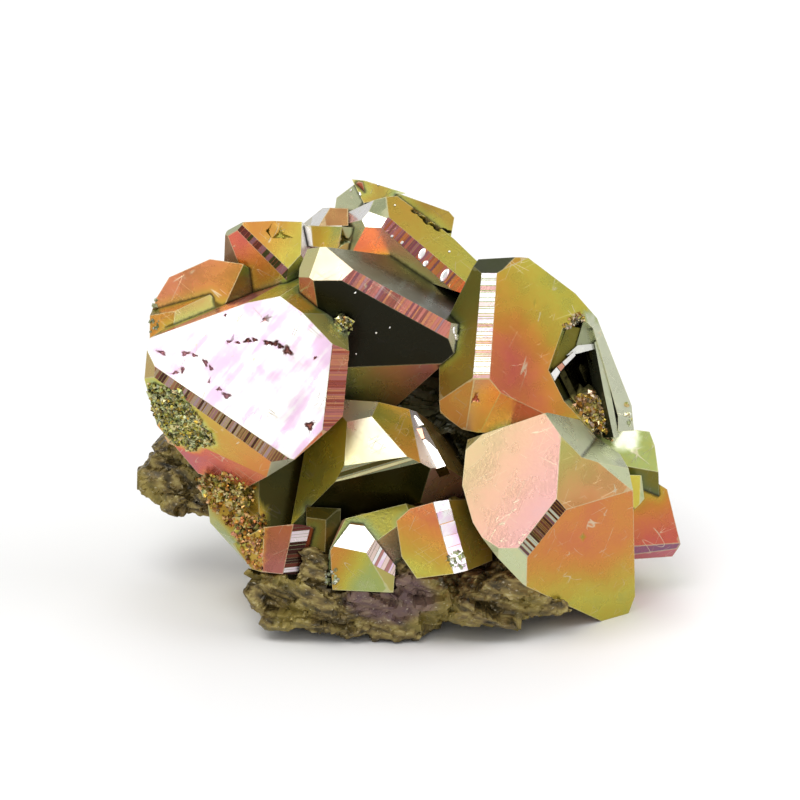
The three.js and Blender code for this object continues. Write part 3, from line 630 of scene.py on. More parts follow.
class Colour:
    """Builds a finish node by node; its methods take numbers or sockets and give sockets."""

    def __init__(self, name: str) -> None:
        """Start an empty finish with its shader."""
        self.material = bpy.data.materials.new(name)
        self.material.use_nodes = True
        self.nodes = self.material.node_tree.nodes
        self.links = self.material.node_tree.links
        self.shader = self.nodes["Principled BSDF"]
        place = self.nodes.new("ShaderNodeTexCoord")
        scale = self.nodes.new("ShaderNodeVectorMath")
        scale.operation = "SCALE"
        scale.inputs["Scale"].default_value = 1 / MM
        self.links.new(place.outputs["Object"], scale.inputs[0])
        self.place = scale.outputs[0]

    def set(self, socket: Socket, value) -> None:
        """Give a socket a number, a colour or another socket's output."""
        if isinstance(value, (int, float, tuple)):
            socket.default_value = value
        else:
            self.links.new(value, socket)

    def number(self, name: str) -> Socket:
        """Read a number stored on the mesh."""
        node = self.nodes.new("ShaderNodeAttribute")
        node.attribute_name = name
        return node.outputs["Fac"]

    def noise(self, scale: float, detail: float = 3.0, stretch: tuple | None = None) -> Socket:
        """Make a cloudy pattern around a half.

        Args:
            scale: Clouds for each millimetre.
            detail: Number of finer layers.
            stretch: Turn in degrees in the plane of u and v, and the scale along the turned u, v and w.

        Returns:
            The pattern.
        """
        source = self.place
        if stretch:
            turn, *sizes = stretch
            flat = (LEAN - math.pi / 2, 0, -math.radians(turn))
            for name, values in (("Rotation", flat), ("Scale", sizes)):
                node = self.nodes.new("ShaderNodeMapping")
                node.inputs[name].default_value = values
                self.links.new(source, node.inputs["Vector"])
                source = node.outputs[0]
        node = self.nodes.new("ShaderNodeTexNoise")
        node.inputs["Scale"].default_value = scale
        node.inputs["Detail"].default_value = detail
        self.links.new(source, node.inputs["Vector"])
        return node.outputs["Fac"]

    def math(self, kind: str, a, b=None, clamp: bool = False) -> Socket:
        """Combine one or two numbers by the sum that Blender calls kind."""
        node = self.nodes.new("ShaderNodeMath")
        node.operation = kind
        node.use_clamp = clamp
        for socket, value in zip(node.inputs, (a, b)):
            if value is not None:
                self.set(socket, value)
        return node.outputs[0]

    def times(self, a, b) -> Socket:
        """Multiply two numbers."""
        return self.math("MULTIPLY", a, b)

    def sway(self, value, pattern, share: float) -> Socket:
        """Move a number up and down by a share of a pattern around a half."""
        return self.math("ADD", value, self.times(self.math("SUBTRACT", pattern, 0.5), share))

    def open(self, reach: float) -> Socket:
        """Tell how open the surface is within a reach, from 0 deep in a crevice to 1."""
        node = self.nodes.new("ShaderNodeAmbientOcclusion")
        node.samples = 8
        node.inputs["Distance"].default_value = reach * MM
        return node.outputs["AO"]

    def fade(self, value, low: float, high: float, start: float = 0.0, end: float = 1.0) -> Socket:
        """Ease from start to end as a value grows from low to high."""
        node = self.nodes.new("ShaderNodeMapRange")
        node.interpolation_type = "SMOOTHSTEP"
        for name, number in zip(("From Min", "From Max", "To Min", "To Max"), (low, high, start, end)):
            node.inputs[name].default_value = number
        self.links.new(value, node.inputs["Value"])
        return node.outputs["Result"]

    def ramp(self, value, stops: list[tuple[float, tuple]]) -> Socket:
        """Turn a number into a colour by places from 0 to 1 and their linear colours."""
        node = self.nodes.new("ShaderNodeValToRGB")
        points = node.color_ramp.elements
        while len(points) < len(stops):
            points.new(0.5)
        for point, (place, shade) in zip(points, sorted(stops)):
            point.position, point.color = place, shade
        self.links.new(value, node.inputs["Fac"])
        return node.outputs["Color"]

    def mix(self, share, a, b, kind: str = "MIX") -> Socket:
        """Blend a share of the second colour into the first, the way that Blender calls kind."""
        node = self.nodes.new("ShaderNodeMix")
        node.data_type = "RGBA"
        node.blend_type = kind
        for socket, value in zip([s for s in node.inputs if s.enabled], (share, a, b)):
            self.set(socket, value)
        return [s for s in node.outputs if s.enabled][0]

    def darken(self, colour, light) -> Socket:
        """Multiply a colour by a share of light."""
        node = self.nodes.new("ShaderNodeCombineColor")
        for k in range(3):
            self.links.new(light, node.inputs[k])
        return self.mix(1.0, colour, node.outputs[0], "MULTIPLY")

    def bump(self, height, strength: float, distance: float, under=None) -> Socket:
        """Raise the surface slightly.

        Args:
            height: The height from 0 to 1.
            strength: Share of the effect.
            distance: Height of the highest place, in millimetres.
            under: A normal to build on.

        Returns:
            The new normal.
        """
        node = self.nodes.new("ShaderNodeBump")
        node.inputs["Strength"].default_value = strength
        node.inputs["Distance"].default_value = distance * MM
        self.links.new(height, node.inputs["Height"])
        if under is not None:
            self.links.new(under, node.inputs["Normal"])
        return node.outputs[0]

    def finish(self, colour, metallic: float, rough, normal) -> bpy.types.Material:
        """Feed the shader and give the finish."""
        names = ("Base Color", "Metallic", "Roughness", "Normal")
        for name, value in zip(names, (colour, metallic, rough, normal)):
            self.set(self.shader.inputs[name], value)
        return self.material


@dataclass(frozen=True)
class Tarnish:
    """Iridescent tarnish on flat, shiny crystal faces.

    Attributes:
        metallic: How metallic the faces are.
        rough: Roughness of a clean face.
        gain: Brightness of the film.
        white: Colour of the painted highlight that washes over the film.
        lilac: Colour of the streaks where the painted highlight is strongest.
        scratched: Colour of the hair scratches.
        wear_and_highlight: Colour of the pale proud edges, partly wear and partly painted highlight.
        scratches: Turn of each set of scratches, and its scale along u, v and w.
    """

    metallic: float = 0.75
    rough: float = 0.27
    gain: float = 1.2
    white: tuple[float, ...] = (1.0, 0.99, 0.97, 1.0)
    lilac: Rgb = (236, 176, 228)
    scratched: Rgb = (232, 220, 186)
    wear_and_highlight: Rgb = (205, 200, 160)
    scratches: tuple[tuple[float, ...], ...] = (
        (28, 0.05, 1.1, 0.2), (-38, 0.06, 0.9, 0.2), (66, 0.05, 0.8, 0.2),
    )

    def build(self, name: str) -> bpy.types.Material:
        """Make the finish under a name."""
        c = Colour(name)
        film, wash, shade, rim, nook = map(c.number, ("film", "wash", "shade", "rim", "nook"))
        clouds, fine = c.noise(0.35, 4), c.noise(3.0, 3)
        film = c.sway(c.sway(film, clouds, 0.16), fine, 0.08)
        film = c.math("SUBTRACT", film, c.fade(nook, 0.0, 1.4, 0.16, 0.0), clamp=True)
        stops = [
            (key.value, tuple(min(1.0, k * self.gain) for k in ink(*rgb)[:3]) + (1.0,))
            for key, rgb in FILM_INKS.items()
        ]
        # painted highlight: white mixed into the film by the wash
        colour = c.mix(wash, c.ramp(film, stops), self.white)
        # lilac streaks where the painted highlight lies on a rose film
        silk = c.noise(0.9, 3, (52, 0.16, 1.0, 0.3))
        veil = c.fade(c.math("ADD", c.times(silk, 0.65), c.times(clouds, 0.35)), 0.46, 0.6)
        streaks = c.times(c.times(veil, c.fade(wash, 0.6, 0.88)), c.fade(film, 0.6, 0.78))
        colour = c.mix(c.times(streaks, 0.6), colour, ink(*self.lilac))
        # hair scratches in a few directions
        marks = None
        for stretch in self.scratches:
            streak = c.math("ABSOLUTE", c.math("SUBTRACT", c.noise(0.8, 0, stretch), 0.5))
            hair = c.times(c.fade(streak, 0.0, 0.006, 1.0, 0.0), c.fade(c.noise(0.5, 1), 0.52, 0.6))
            marks = hair if marks is None else c.math("MAXIMUM", marks, hair)
        colour = c.mix(c.times(marks, 0.75), colour, ink(*self.scratched))
        colour = c.darken(colour, c.math("SUBTRACT", 1.0, shade, clamp=True))
        # pale proud edges, partly wear and partly painted highlight
        wear_and_highlight = c.fade(c.sway(rim, fine, 0.12), 0.03, 0.1, 0.5, 0.0)
        wear_and_highlight = c.times(wear_and_highlight, c.fade(shade, 0.2, 0.9, 1.0, 0.3))
        colour = c.mix(wear_and_highlight, colour, ink(*self.wear_and_highlight))
        # painted shade along the sunk edges and in the crevices
        colour = c.darken(colour, c.fade(c.sway(nook, fine, 0.3), 0.0, 0.35, 0.25, 1.0))
        colour = c.darken(colour, c.fade(c.open(3.0), 0.02, 0.4, 0.3, 1.0))
        cloudy = c.fade(clouds, 0.3, 0.7, self.rough - 0.05, self.rough + 0.08)
        rough = c.math("ADD", cloudy, c.times(wear_and_highlight, 0.2))
        normal = c.bump(marks, 0.3, 0.03, c.bump(fine, 0.25, 0.04))
        return c.finish(colour, self.metallic, rough, normal)


@dataclass
class CrystalCluster:
    """The crystals that grew together, with their faces, pits and tarnish.

    Attributes:
        facets: Their flat faces.
        grain: Longest edge of the fine mesh.
        fine: Longest edge beside a pit.
        behind: Where the back begins, which has the coarser mesh.
        seed: Seed of the unseen faces' colours.
    """

    facets: Facets
    grain: float = 1.0
    fine: float = 0.16
    behind: float = 4.0
    seed: int = 11

    def build(self) -> Piece:
        """Make the crystals and give the piece."""
        f = self.facets
        pits = [(p, f.hit(p.u, p.v)) for p in PITS]
        pits = [(p, hit[1], f.facet[hit[0]]) for p, hit in pits if hit]

        def longest(places: Array) -> Array:
            """Give the longest edge allowed at each place."""
            limit = np.full(len(places), self.grain)
            limit[places[:, 1] > self.behind] = self.grain * BACK_GRAIN
            for pit, centre, _ in pits:
                close = np.flatnonzero(np.abs(places[:, 0] - centre[0]) < pit.size * PIT_RIM)
                away = np.linalg.norm(places[close] - centre, axis=1)
                limit[close[away < pit.size * PIT_RIM]] = self.fine
            return limit

        self.points, self.triangles, self.facet = refine(f.points, f.triangles, f.facet, longest)
        self.marks = {**self._tones(), **self._edges()}
        chance = np.random.default_rng(self.seed)
        view = to_view(self.points)
        for pit, centre, number in pits:
            self._sink(pit, number, view - to_view(centre[None])[0], chance.uniform(0, 6))
        piece = new_object("crystal_cluster_faces", self.points, self.triangles)
        for name, values in self.marks.items():
            set_corners(piece.data, name, values)
        piece.data.materials.append(Tarnish().build("iridescent_tarnish"))
        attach(piece, "root")
        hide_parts("crystal_cluster")
        return piece

    def _tones(self) -> dict[str, Array]:
        """Give each loop its film, wash and shade: by chance, then by the notes and patches."""
        chance = np.random.default_rng(self.seed)
        count = self.facets.facet.max() + 1
        view = to_view(self.points)[self.triangles.reshape(-1)]
        where = np.repeat(self.facet, 3)
        base = chance.uniform(0.12, 0.72, count)
        spread = chance.uniform(-0.02, 0.02, (count, 3))
        film = np.clip(base[where] + (spread[where] * (view - view.mean(0))).sum(1), 0.02, 0.82)
        tones = np.stack([film, np.zeros(len(film)), chance.uniform(0.0, 0.25, count)[where]], 1)
        for note in FACES:
            found = self.facets.hit(*note.at)
            if found is None:
                continue
            mine = where == self.facets.facet[found[0]]
            a, b = note.start, note.end
            way = np.array([b.u - a.u, b.v - a.v])
            t = np.clip(((view[mine][:, :2] - [a.u, a.v]) @ way) / (way @ way), 0, 1)
            tones[mine] = a.values() + (b.values() - a.values()) * t[:, None]
        for patch in PATCHES:
            patch.lay_on(tones, view)
        return dict(zip(("film", "wash", "shade"), tones.T.copy()))

    def _edges(self) -> dict[str, Array]:
        """Give each loop its distance to its face's proud edges and to its sunk ones."""
        f = self.facets
        stores = {name: np.full(self.triangles.size, CLEAR) for name in ("rim", "nook")}
        for number in range(f.facet.max() + 1):
            mine = np.flatnonzero(self.facet == number)
            used, back = np.unique(self.triangles[mine], return_inverse=True)
            loops = (mine[:, None] * 3 + np.arange(3)).reshape(-1)
            for edges, store in zip(f.borders(number), stores.values()):
                ends = f.points[f.edges[edges]]
                store[loops] = to_segments(self.points[used], ends[:, 0], ends[:, 1])[back.reshape(-1)]
        return stores

    def _sink(self, pit: Pit, number: int, away: Array, phase: float) -> None:
        """Sink one pit into its face.

        Args:
            pit: The pit.
            number: The flat face it is in.
            away: Each corner's place from the pit, as seen by the camera.
            phase: Turn of its three bays.
        """
        inside = self.facet == number
        mine = np.unique(self.triangles[inside])
        right, up = away[mine, 0], away[mine, 1]
        turn = math.radians(pit.turn)
        long = right * math.cos(turn) + up * math.sin(turn)
        across = (up * math.cos(turn) - right * math.sin(turn)) / pit.slim
        size = pit.size * (1 + 0.35 * np.sin(3 * np.arctan2(across, long) + phase))
        depth = np.clip(1 - np.hypot(long, across) / size, 0, 1)
        normal = self.facets.normal[self.facets.facet == number][0]
        self.points[mine] -= normal * (np.minimum(depth * 2, 1) * pit.deep)[:, None]
        shares = np.zeros(len(self.points))
        shares[mine] = np.minimum(depth * 3, 1)
        loops = np.flatnonzero(np.repeat(inside, 3))
        share = shares[self.triangles.reshape(-1)[loops]]
        film, wash, shade = (self.marks[name] for name in ("film", "wash", "shade"))
        film[loops] += (pit.film.value - film[loops]) * share
        wash[loops] *= 1 - share * 0.9
        shade[loops] += (pit.shade - shade[loops]) * share


class Blocks:
    """Small closed blocks with the crystals' finish, collected into one piece."""

    def __init__(self) -> None:
        """Start with no blocks."""
        self.points: list = []
        self.faces: list = []
        self.tones: list = []

    def prism(self, tops: list, deep: list, tone: tuple) -> None:
        """Add a block with dark sides.

        Args:
            tops: Corners of its top.
            deep: Corners under them.
            tone: Film, wash and shade of the top.
        """
        first, count = len(self.points), len(tops)
        self.points += tops + deep
        self.faces.append([first + k for k in range(count)])
        self.faces.append([first + count + k for k in reversed(range(count))])
        side = (tone[0], 0.0, 0.85)
        self.tones += [tone, side]
        for k in range(count):
            j = (k + 1) % count
            self.faces.append([first + k, first + count + k, first + count + j, first + j])
            self.tones.append(side)

    def finish(self, name: str, slot: int) -> Piece:
        """Turn the blocks into a piece.

        Args:
            name: Name of the piece.
            slot: Not used.

        Returns:
            The piece.
        """
        piece = new_object(name, np.array(self.points), self.faces)
        tones = np.repeat(np.array(self.tones), [len(face) for face in self.faces], axis=0)
        for k, mark in enumerate(("film", "wash", "shade")):
            set_corners(piece.data, mark, tones[:, k])
        for mark in ("rim", "nook"):
            set_corners(piece.data, mark, np.full(len(tones), CLEAR))
        piece.data.materials.append(bpy.data.materials["iridescent_tarnish"])
        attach(piece, "root")
        return piece


def hull(flat: Array) -> Array:
    """Wrap rows of two numbers in the smallest convex outline, counterclockwise."""
    rows = sorted(map(tuple, flat.tolist()))

    def half(places: list) -> list:
        """Walk along one side."""
        out: list = []
        for p in places:
            while len(out) > 1:
                (ax, ay), (bx, by) = out[-2:]
                if (bx - ax) * (p[1] - ay) - (by - ay) * (p[0] - ax) > 1e-6:
                    break
                out.pop()
            out.append(p)
        return out[:-1]

    return np.array(half(rows) + half(rows[::-1]))


def clip(outline, limit: float, sign: int) -> list:
    """Keep one side of an outline.

    Args:
        outline: Rows of two numbers.
        limit: Where the cut is, along the first of them.
        sign: 1 keeps what is beyond it, and -1 what is before it.

    Returns:
        The part that is kept.
    """
    out = []
    for k in range(len(outline)):
        (a, b), (c, d) = outline[k], outline[(k + 1) % len(outline)]
        ka, kc = (a - limit) * sign, (c - limit) * sign
        if ka >= 0:
            out.append((a, b))
        if ka * kc < 0:
            t = ka / (ka - kc)
            out.append((a + (c - a) * t, b + (d - b) * t))
    return out


@dataclass
class StriatedStrips:
    """The narrow faces with their crosswise steps.

    Attributes:
        facets: The flat faces they lie on.
        seed: Seed of the steps.
        root: Depth that a step reaches under its face.
        least: Shortest rest of a strip that still takes a step.
    """

    facets: Facets
    seed: int = 5
    root: float = 0.15
    least: float = 0.05

    def build(self) -> Piece:
        """Make all the steps as one piece."""
        blocks = Blocks()
        for number, strip in enumerate(STRIPS):
            self._strip(strip, blocks, np.random.default_rng(self.seed + number))
        return blocks.finish("striated_strips", 0)

    def _strip(self, strip: Bars, blocks: Blocks, chance: np.random.Generator) -> None:
        """Add the steps of one strip.

        Args:
            strip: The strip.
            blocks: Collects the steps.
            chance: Its source of random numbers.
        """
        f = self.facets
        found = f.hit(*strip.at)
        if found is None:
            return
        row, origin = found
        normal = f.normal[row]
        along, side = lay(*strip.run, normal)
        corners = f.points[np.unique(f.triangles[f.facet == f.facet[row]])]
        outline = hull(np.stack([(corners - origin) @ along, (corners - origin) @ side], 1))
        low, high = outline[:, 1].min(), outline[:, 1].max()
        for share, sign in zip(strip.span, (1, -1)):
            turned = [(b, a) for a, b in outline]
            outline = np.array([(a, b) for b, a in clip(turned, low + (high - low) * share, sign)])
        first, last = outline[:, 0].min(), outline[:, 0].max()
        s = first
        while s < last - self.least:
            step = min(chance.uniform(*strip.pitch), last - s)
            part = clip(clip(outline, s, 1), s + step - strip.groove, -1)
            share = (s - first) / (last - first)
            tones = strip.end if strip.end and chance.random() < share else strip.tones
            film, wash, shade = tones[chance.integers(len(tones))]
            lift = chance.uniform(0.02, strip.lift)
            tilt = chance.uniform(-0.12, 0.12)
            if len(part) >= 3:
                flat = [origin + along * a + side * b for a, b in part]
                tops = [p + normal * (lift + tilt * (a - s - step / 2)) for p, (a, _) in zip(flat, part)]
                deep = [p - normal * self.root for p in flat]
                blocks.prism(tops, deep, (film.value + chance.uniform(-0.03, 0.03), wash, shade))
            s += step


@dataclass(frozen=True)
class RockFinish:
    """Brown and olive rock, rough and dull.

    Attributes:
        metallic: How metallic it is.
        browns: Colours from the darkest to the palest grain, and their places on the ramp.
        olive: Colour of the broad olive clouds.
        plum: Colour of the purple zone.
        pale: Colour of the finest pale grains.
        gap_shade: Colour of the painted shade on the rock between the crystals.
    """

    metallic: float = 0.35
    browns: tuple = (
        (0.3, (34, 28, 14)), (0.42, (76, 64, 32)), (0.52, (116, 98, 54)), (0.62, (150, 134, 78)),
        (0.74, (204, 192, 146)),
    )
    olive: Rgb = (150, 134, 62)
    plum: Rgb = (112, 86, 92)
    pale: Rgb = (222, 214, 184)
    gap_shade: Rgb = (38, 44, 26)

    def build(self, name: str) -> bpy.types.Material:
        """Make the finish under a name."""
        c = Colour(name)
        broad = c.noise(0.18, 5)
        mid = c.noise(1.1, 6, (-18, 0.45, 1.0, 1.5))
        fine = c.noise(3.5, 5, (-18, 0.6, 1.0, 1.6))
        colour = c.ramp(mid, [(place, ink(*rgb)) for place, rgb in self.browns])
        colour = c.mix(c.fade(broad, 0.48, 0.62, 0, 0.55), colour, ink(*self.olive))
        colour = c.mix(c.fade(c.number("plum"), 0.1, 0.9, 0, 0.7), colour, ink(*self.plum))
        colour = c.mix(c.fade(fine, 0.6, 0.74, 0, 0.5), colour, ink(*self.pale))
        # painted shade on the rock between the crystals
        colour = c.mix(c.fade(c.number("gap_shade"), 0.0, 1.0, 0, 0.88), colour, ink(*self.gap_shade))
        # painted shade in the rock's crevices
        colour = c.darken(colour, c.fade(c.open(2.5), 0.05, 0.45, 0.3, 1.0))
        normal = c.bump(fine, 0.3, 0.1, c.bump(mid, 0.35, 0.25))
        return c.finish(colour, self.metallic, c.fade(mid, 0.3, 0.7, 0.32, 0.6), normal)


@dataclass
class RockBase:
    """The rock the crystals grew on.

    Attributes:
        voxel: Cell of the fine mesh.
        rough: Height of the relief.
        foot: Height over the floor where the relief starts, and the height over which it grows.
        plum: Centre and reach of the purple zone, as seen by the camera.
        gap_shade: Height seen by the camera and nearness from which the rock takes painted shade.
    """

    voxel: float = 0.3
    rough: float = 0.75
    foot: Pair = (0.1, 0.8)
    plum: tuple[float, ...] = (-2.0, 3.6, 6.0, 3.2)
    gap_shade: Pair = (14.5, -8.0)

    def build(self) -> Piece:
        """Make the rock and give the piece."""
        points, triangles = read_solid("matrix")
        piece = new_object("rock_base", points, triangles)
        remesh = piece.modifiers.new("fine", "REMESH")
        remesh.mode = "VOXEL"
        remesh.voxel_size = self.voxel * MM
        bpy.context.view_layer.update()
        graph = bpy.context.evaluated_depsgraph_get()
        mesh = bpy.data.meshes.new_from_object(piece.evaluated_get(graph))
        piece.modifiers.clear()
        piece.data = mesh
        self._relief(mesh, points.min(0), points.max(0))
        mesh.materials.append(RockFinish().build("rock"))
        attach(piece, "root")
        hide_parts("matrix")
        return piece

    def _relief(self, mesh: bpy.types.Mesh, low: Array, high: Array) -> None:
        """Chip and roughen the surface inside the solid's box, and mark its zones.

        Args:
            mesh: The fine mesh.
            low: Lowest corner of the box.
            high: Highest corner of the box.
        """
        size = len(mesh.vertices) * 3
        flat, ways = np.empty(size), np.empty(size)
        mesh.vertices.foreach_get("co", flat)
        mesh.vertices.foreach_get("normal", ways)
        places, ways = flat.reshape(-1, 3) / MM, ways.reshape(-1, 3)
        moves = np.array([self._chip(Vector(place)) for place in places])
        moves *= self.rough * np.clip((places[:, 2] - self.foot[0]) / self.foot[1], 0, 1)
        corners = np.empty(len(mesh.loops), np.int32)
        mesh.loops.foreach_get("vertex_index", corners)
        u, v, w = to_view(places).T
        right, up, wide, tall = self.plum
        zone = 1 - np.hypot((u - right) / wide, (v - up) / tall)
        # share of painted shade on the rock between the crystals
        between = np.clip((v - self.gap_shade[0]) / 2, 0, 1) * np.clip((w - self.gap_shade[1]) / 3, 0, 1)
        set_corners(mesh, "plum", np.clip(zone * 2.5, 0, 1)[corners])
        set_corners(mesh, "gap_shade", between[corners])
        places = np.clip(places + ways * moves[:, None], low, high)
        mesh.vertices.foreach_set("co", (places * MM).reshape(-1))
        mesh.update()

    @staticmethod
    def _chip(place: Vector) -> float:
        """Give the relief at one place: flat, tilted chips with layered steps.

        Args:
            place: The place, in millimetres.

        Returns:
            Height over the plain solid, before it is scaled.
        """
        height = 0.0
        for scale, share in ((0.22, 1.9), (0.55, 0.6)):
            point = Vector((place.x * scale * 0.6, place.y * scale, place.z * scale * 1.3))
            centre = noise.voronoi(point)[1][0]
            tilt = noise.cell_vector(centre * 37.0) - Vector((0.5, 0.5, 0.5))
            height += (point - centre).dot(tilt) * share * 2.2
        layer = place.z * 0.8 + place.x * 0.3 + noise.noise(place * 0.2) * 1.6
        step = layer - math.floor(layer)
        return height + (step - 0.5) * 0.25 + noise.fractal(place * 1.2, 0.9, 2.1, 2) * 0.06


@dataclass(frozen=True)
class DruseFinish:
    """Small bright crystals of pale gold.

    Attributes:
        dark: Colour of the darkest grains.
        light: Colour of the brightest grains.
        deep: Colour of the painted shade deep in the hollow.
        metallic: How metallic they are.
        rough: Roughness.
    """

    dark: Rgb = (70, 62, 24)
    light: Rgb = (236, 222, 130)
    deep: Rgb = (22, 20, 10)
    metallic: float = 0.95
    rough: float = 0.22

    def build(self, name: str) -> bpy.types.Material:
        """Make the finish under a name."""
        c = Colour(name)
        mid = c.noise(1.4, 2)
        colour = c.ramp(mid, [(0.3, ink(*self.dark)), (0.5, ink(*self.light)), (0.7, ink(*self.light))])
        # painted shade deep in the hollow
        colour = c.mix(c.number("shade"), colour, ink(*self.deep))
        rough = c.fade(mid, 0.3, 0.7, self.rough, self.rough + 0.15)
        return c.finish(colour, self.metallic, rough, c.bump(c.noise(6, 2), 0.2, 0.05))


@dataclass
class HollowLining:
    """The lining of the hollow with its gold grains, and painted shade deep inside.

    Attributes:
        dusk: Height seen by the camera where the painted shade starts.
        fall: Height over which it darkens.
        darkest: Largest share of darkness.
    """

    dusk: float = 24.5
    fall: float = 1.5
    darkest: float = 0.95

    def build(self) -> Piece:
        """Make the lining and give the piece."""
        points, triangles = read_solid("vug_crust")
        piece = new_object("hollow_lining", points, triangles)
        # painted shade, darker with the height seen by the camera
        shade = np.clip((to_view(points)[:, 1] - self.dusk) / self.fall, 0, self.darkest)
        set_corners(piece.data, "shade", shade[triangles.reshape(-1)])
        piece.data.materials.append(DruseFinish().build("gold_druse"))
        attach(piece, "root")
        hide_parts("vug_crust")
        return piece


@dataclass(frozen=True)
class Field:
    """Small crystals strewn over part of the surface.

    Attributes:
        outline: Corners of the part, counterclockwise, as seen by the camera.
        count: Number of crystals.
        size: Smallest and largest half width.
        film: Colour.
        wash: Largest share of white light.
        shade: Largest darkness.
    """

    outline: Outline
    count: int
    size: Pair
    film: Film
    wash: float
    shade: float


FIELDS = (
    Field(((-28.8, 27.2), (-28.2, 24), (-26.6, 21), (-24, 19.6), (-21.2, 20.6), (-25, 26.4)),
          620, (0.1, 0.34), OLIVE, 0.35, 0.85),
    Field(((-28.9, 38.3), (-28.9, 35.4), (-27.9, 35.6), (-27.6, 38.4)), 40, (0.15, 0.35), GREY, 0.6, 0.6),
    Field(((-23.8, 17), (-22.4, 14), (-20.5, 12.2), (-17.6, 12.6), (-16.9, 15.6), (-20, 17.4)),
          240, (0.12, 0.36), MUSTARD, 0.3, 0.8),
    Field(((-21, 12.6), (-17.6, 7.4), (-16.2, 6.6), (-15.8, 12.6)), 200, (0.1, 0.34), GOLD, 0.2, 0.85),
    Field(((4.0, 8.6), (4.3, 7.0), (6.0, 6.6), (6.1, 8.0), (5.6, 8.9)), 60, (0.12, 0.3), GREY, 0.9, 0.7),
    Field(((-9.4, 6.6), (-9.3, 5.0), (-7.9, 5.0), (-7.9, 6.8)), 30, (0.12, 0.3), GREY, 0.8, 0.6),
    Field(((17.6, 25.4), (18.4, 23.8), (20.2, 21.8), (22.4, 20.8), (22.6, 22), (21.9, 25.8), (20.2, 26.4)),
          340, (0.16, 0.42), MUSTARD, 0.55, 0.75),
    Field(((16.7, 33.5), (17.1, 32.6), (19.2, 34.0), (19, 34.8), (18, 34.8)),
          60, (0.12, 0.28), MUSTARD, 0.9, 0.8),
    Field(((20.5, 29.4), (21.2, 25.4), (22.3, 23.0), (22.6, 23.4), (21.0, 29.6)),
          90, (0.12, 0.3), GOLD, 0.5, 0.7),
    Field(((23.5, 25.0), (23.9, 22.4), (24.4, 22.4), (24.1, 24.8)), 14, (0.15, 0.32), OLIVE, 0.9, 0.4),
    Field(((-8.2, 34.4), (-8.0, 32.8), (-6.6, 32.6), (-6.2, 34.0), (-7.2, 34.8)),
          60, (0.14, 0.34), OLIVE, 0.8, 0.9),
    Field(((-28.9, 34.0), (-28.9, 32.6), (-27.6, 32.8), (-27.6, 34.2)), 16, (0.12, 0.25), GREY, 0.5, 0.6),
)


@dataclass
class FineDruse:
    """The fields of small crystals.

    Attributes:
        seed: Seed of the crystals.
        tries: Throws allowed for each crystal of a field.
    """

    seed: int = 71
    tries: int = 6

    def build(self) -> Piece:
        """Make all the small crystals as one piece."""
        blocks = Blocks()
        points, rows = np.zeros((0, 3)), np.zeros((0, 3), int)
        for node in ("crystal_cluster", "vug_crust", "matrix"):
            more, triangles = read_solid(node)
            rows = np.concatenate([rows, triangles + len(points)])
            points = np.concatenate([points, more])
        tree = BVHTree.FromPolygons(points.tolist(), rows.tolist())
        for number, part in enumerate(FIELDS):
            self._strew(part, tree, blocks, np.random.default_rng(self.seed + number))
        return blocks.finish("fine_druse", 2)

    def _strew(self, part: Field, tree: BVHTree, blocks: Blocks, chance: np.random.Generator) -> None:
        """Strew one field.

        Args:
            part: The field.
            tree: The surface that it lies on.
            blocks: Collects the crystals.
            chance: Its source of random numbers.
        """
        corners = np.array(part.outline)
        low, high = corners.min(0), corners.max(0)
        left = part.count
        for _ in range(part.count * self.tries):
            u, v = chance.uniform(low, high)
            if inner(part.outline, np.array([[u, v]]))[0] < 0:
                continue
            place, normal, _ = cast(tree, u, v)
            if place is None:
                continue
            size = chance.uniform(*part.size)
            self._tip(np.array(place), np.array(normal), size, blocks, chance)
            film = min(1.0, max(0.0, part.film.value + chance.uniform(-0.12, 0.12)))
            wash, shade = part.wash * chance.random() ** 2, part.shade * chance.random() ** 1.3
            for _ in range(8):
                blocks.tones.append((film, wash, min(1.0, max(0.0, shade + chance.uniform(-0.15, 0.15)))))
            left -= 1
            if not left:
                break

    @staticmethod
    def _tip(place: Array, normal: Array, size: float, blocks: Blocks, chance) -> None:
        """Add one small crystal with eight faces.

        Args:
            place: Where it stands.
            normal: The surface's direction there.
            size: Half its width.
            blocks: Collects the crystals.
            chance: Source of random numbers.
        """
        way = normal + chance.uniform(-0.5, 0.5, 3)
        way /= np.linalg.norm(way)
        side = np.cross(way, chance.uniform(-1, 1, 3))
        side /= np.linalg.norm(side)
        other = np.cross(way, side)
        first = len(blocks.points)
        heart = place + normal * size * 0.1
        blocks.points += [heart + arm * size for arm in (side, other, -side, -other)]
        blocks.points += [heart + way * size * 1.05, heart - way * size * 0.6]
        for k in range(4):
            j = (k + 1) % 4
            blocks.faces += [[first + k, first + j, first + 4], [first + j, first + k, first + 5]]


@dataclass(frozen=True)
class Lens:
    """A small raised oval with a painted highlight on its top.

    Attributes:
        u: Place to the right.
        v: Place up.
        long: Half its length.
        wide: Half its width.
        turn: Turn of its long way, in degrees from the right.
        film: Colour.
        wash: Share of painted highlight.
    """

    u: float
    v: float
    long: float
    wide: float
    turn: float = 50.0
    film: Film = GREY
    wash: float = 1.0


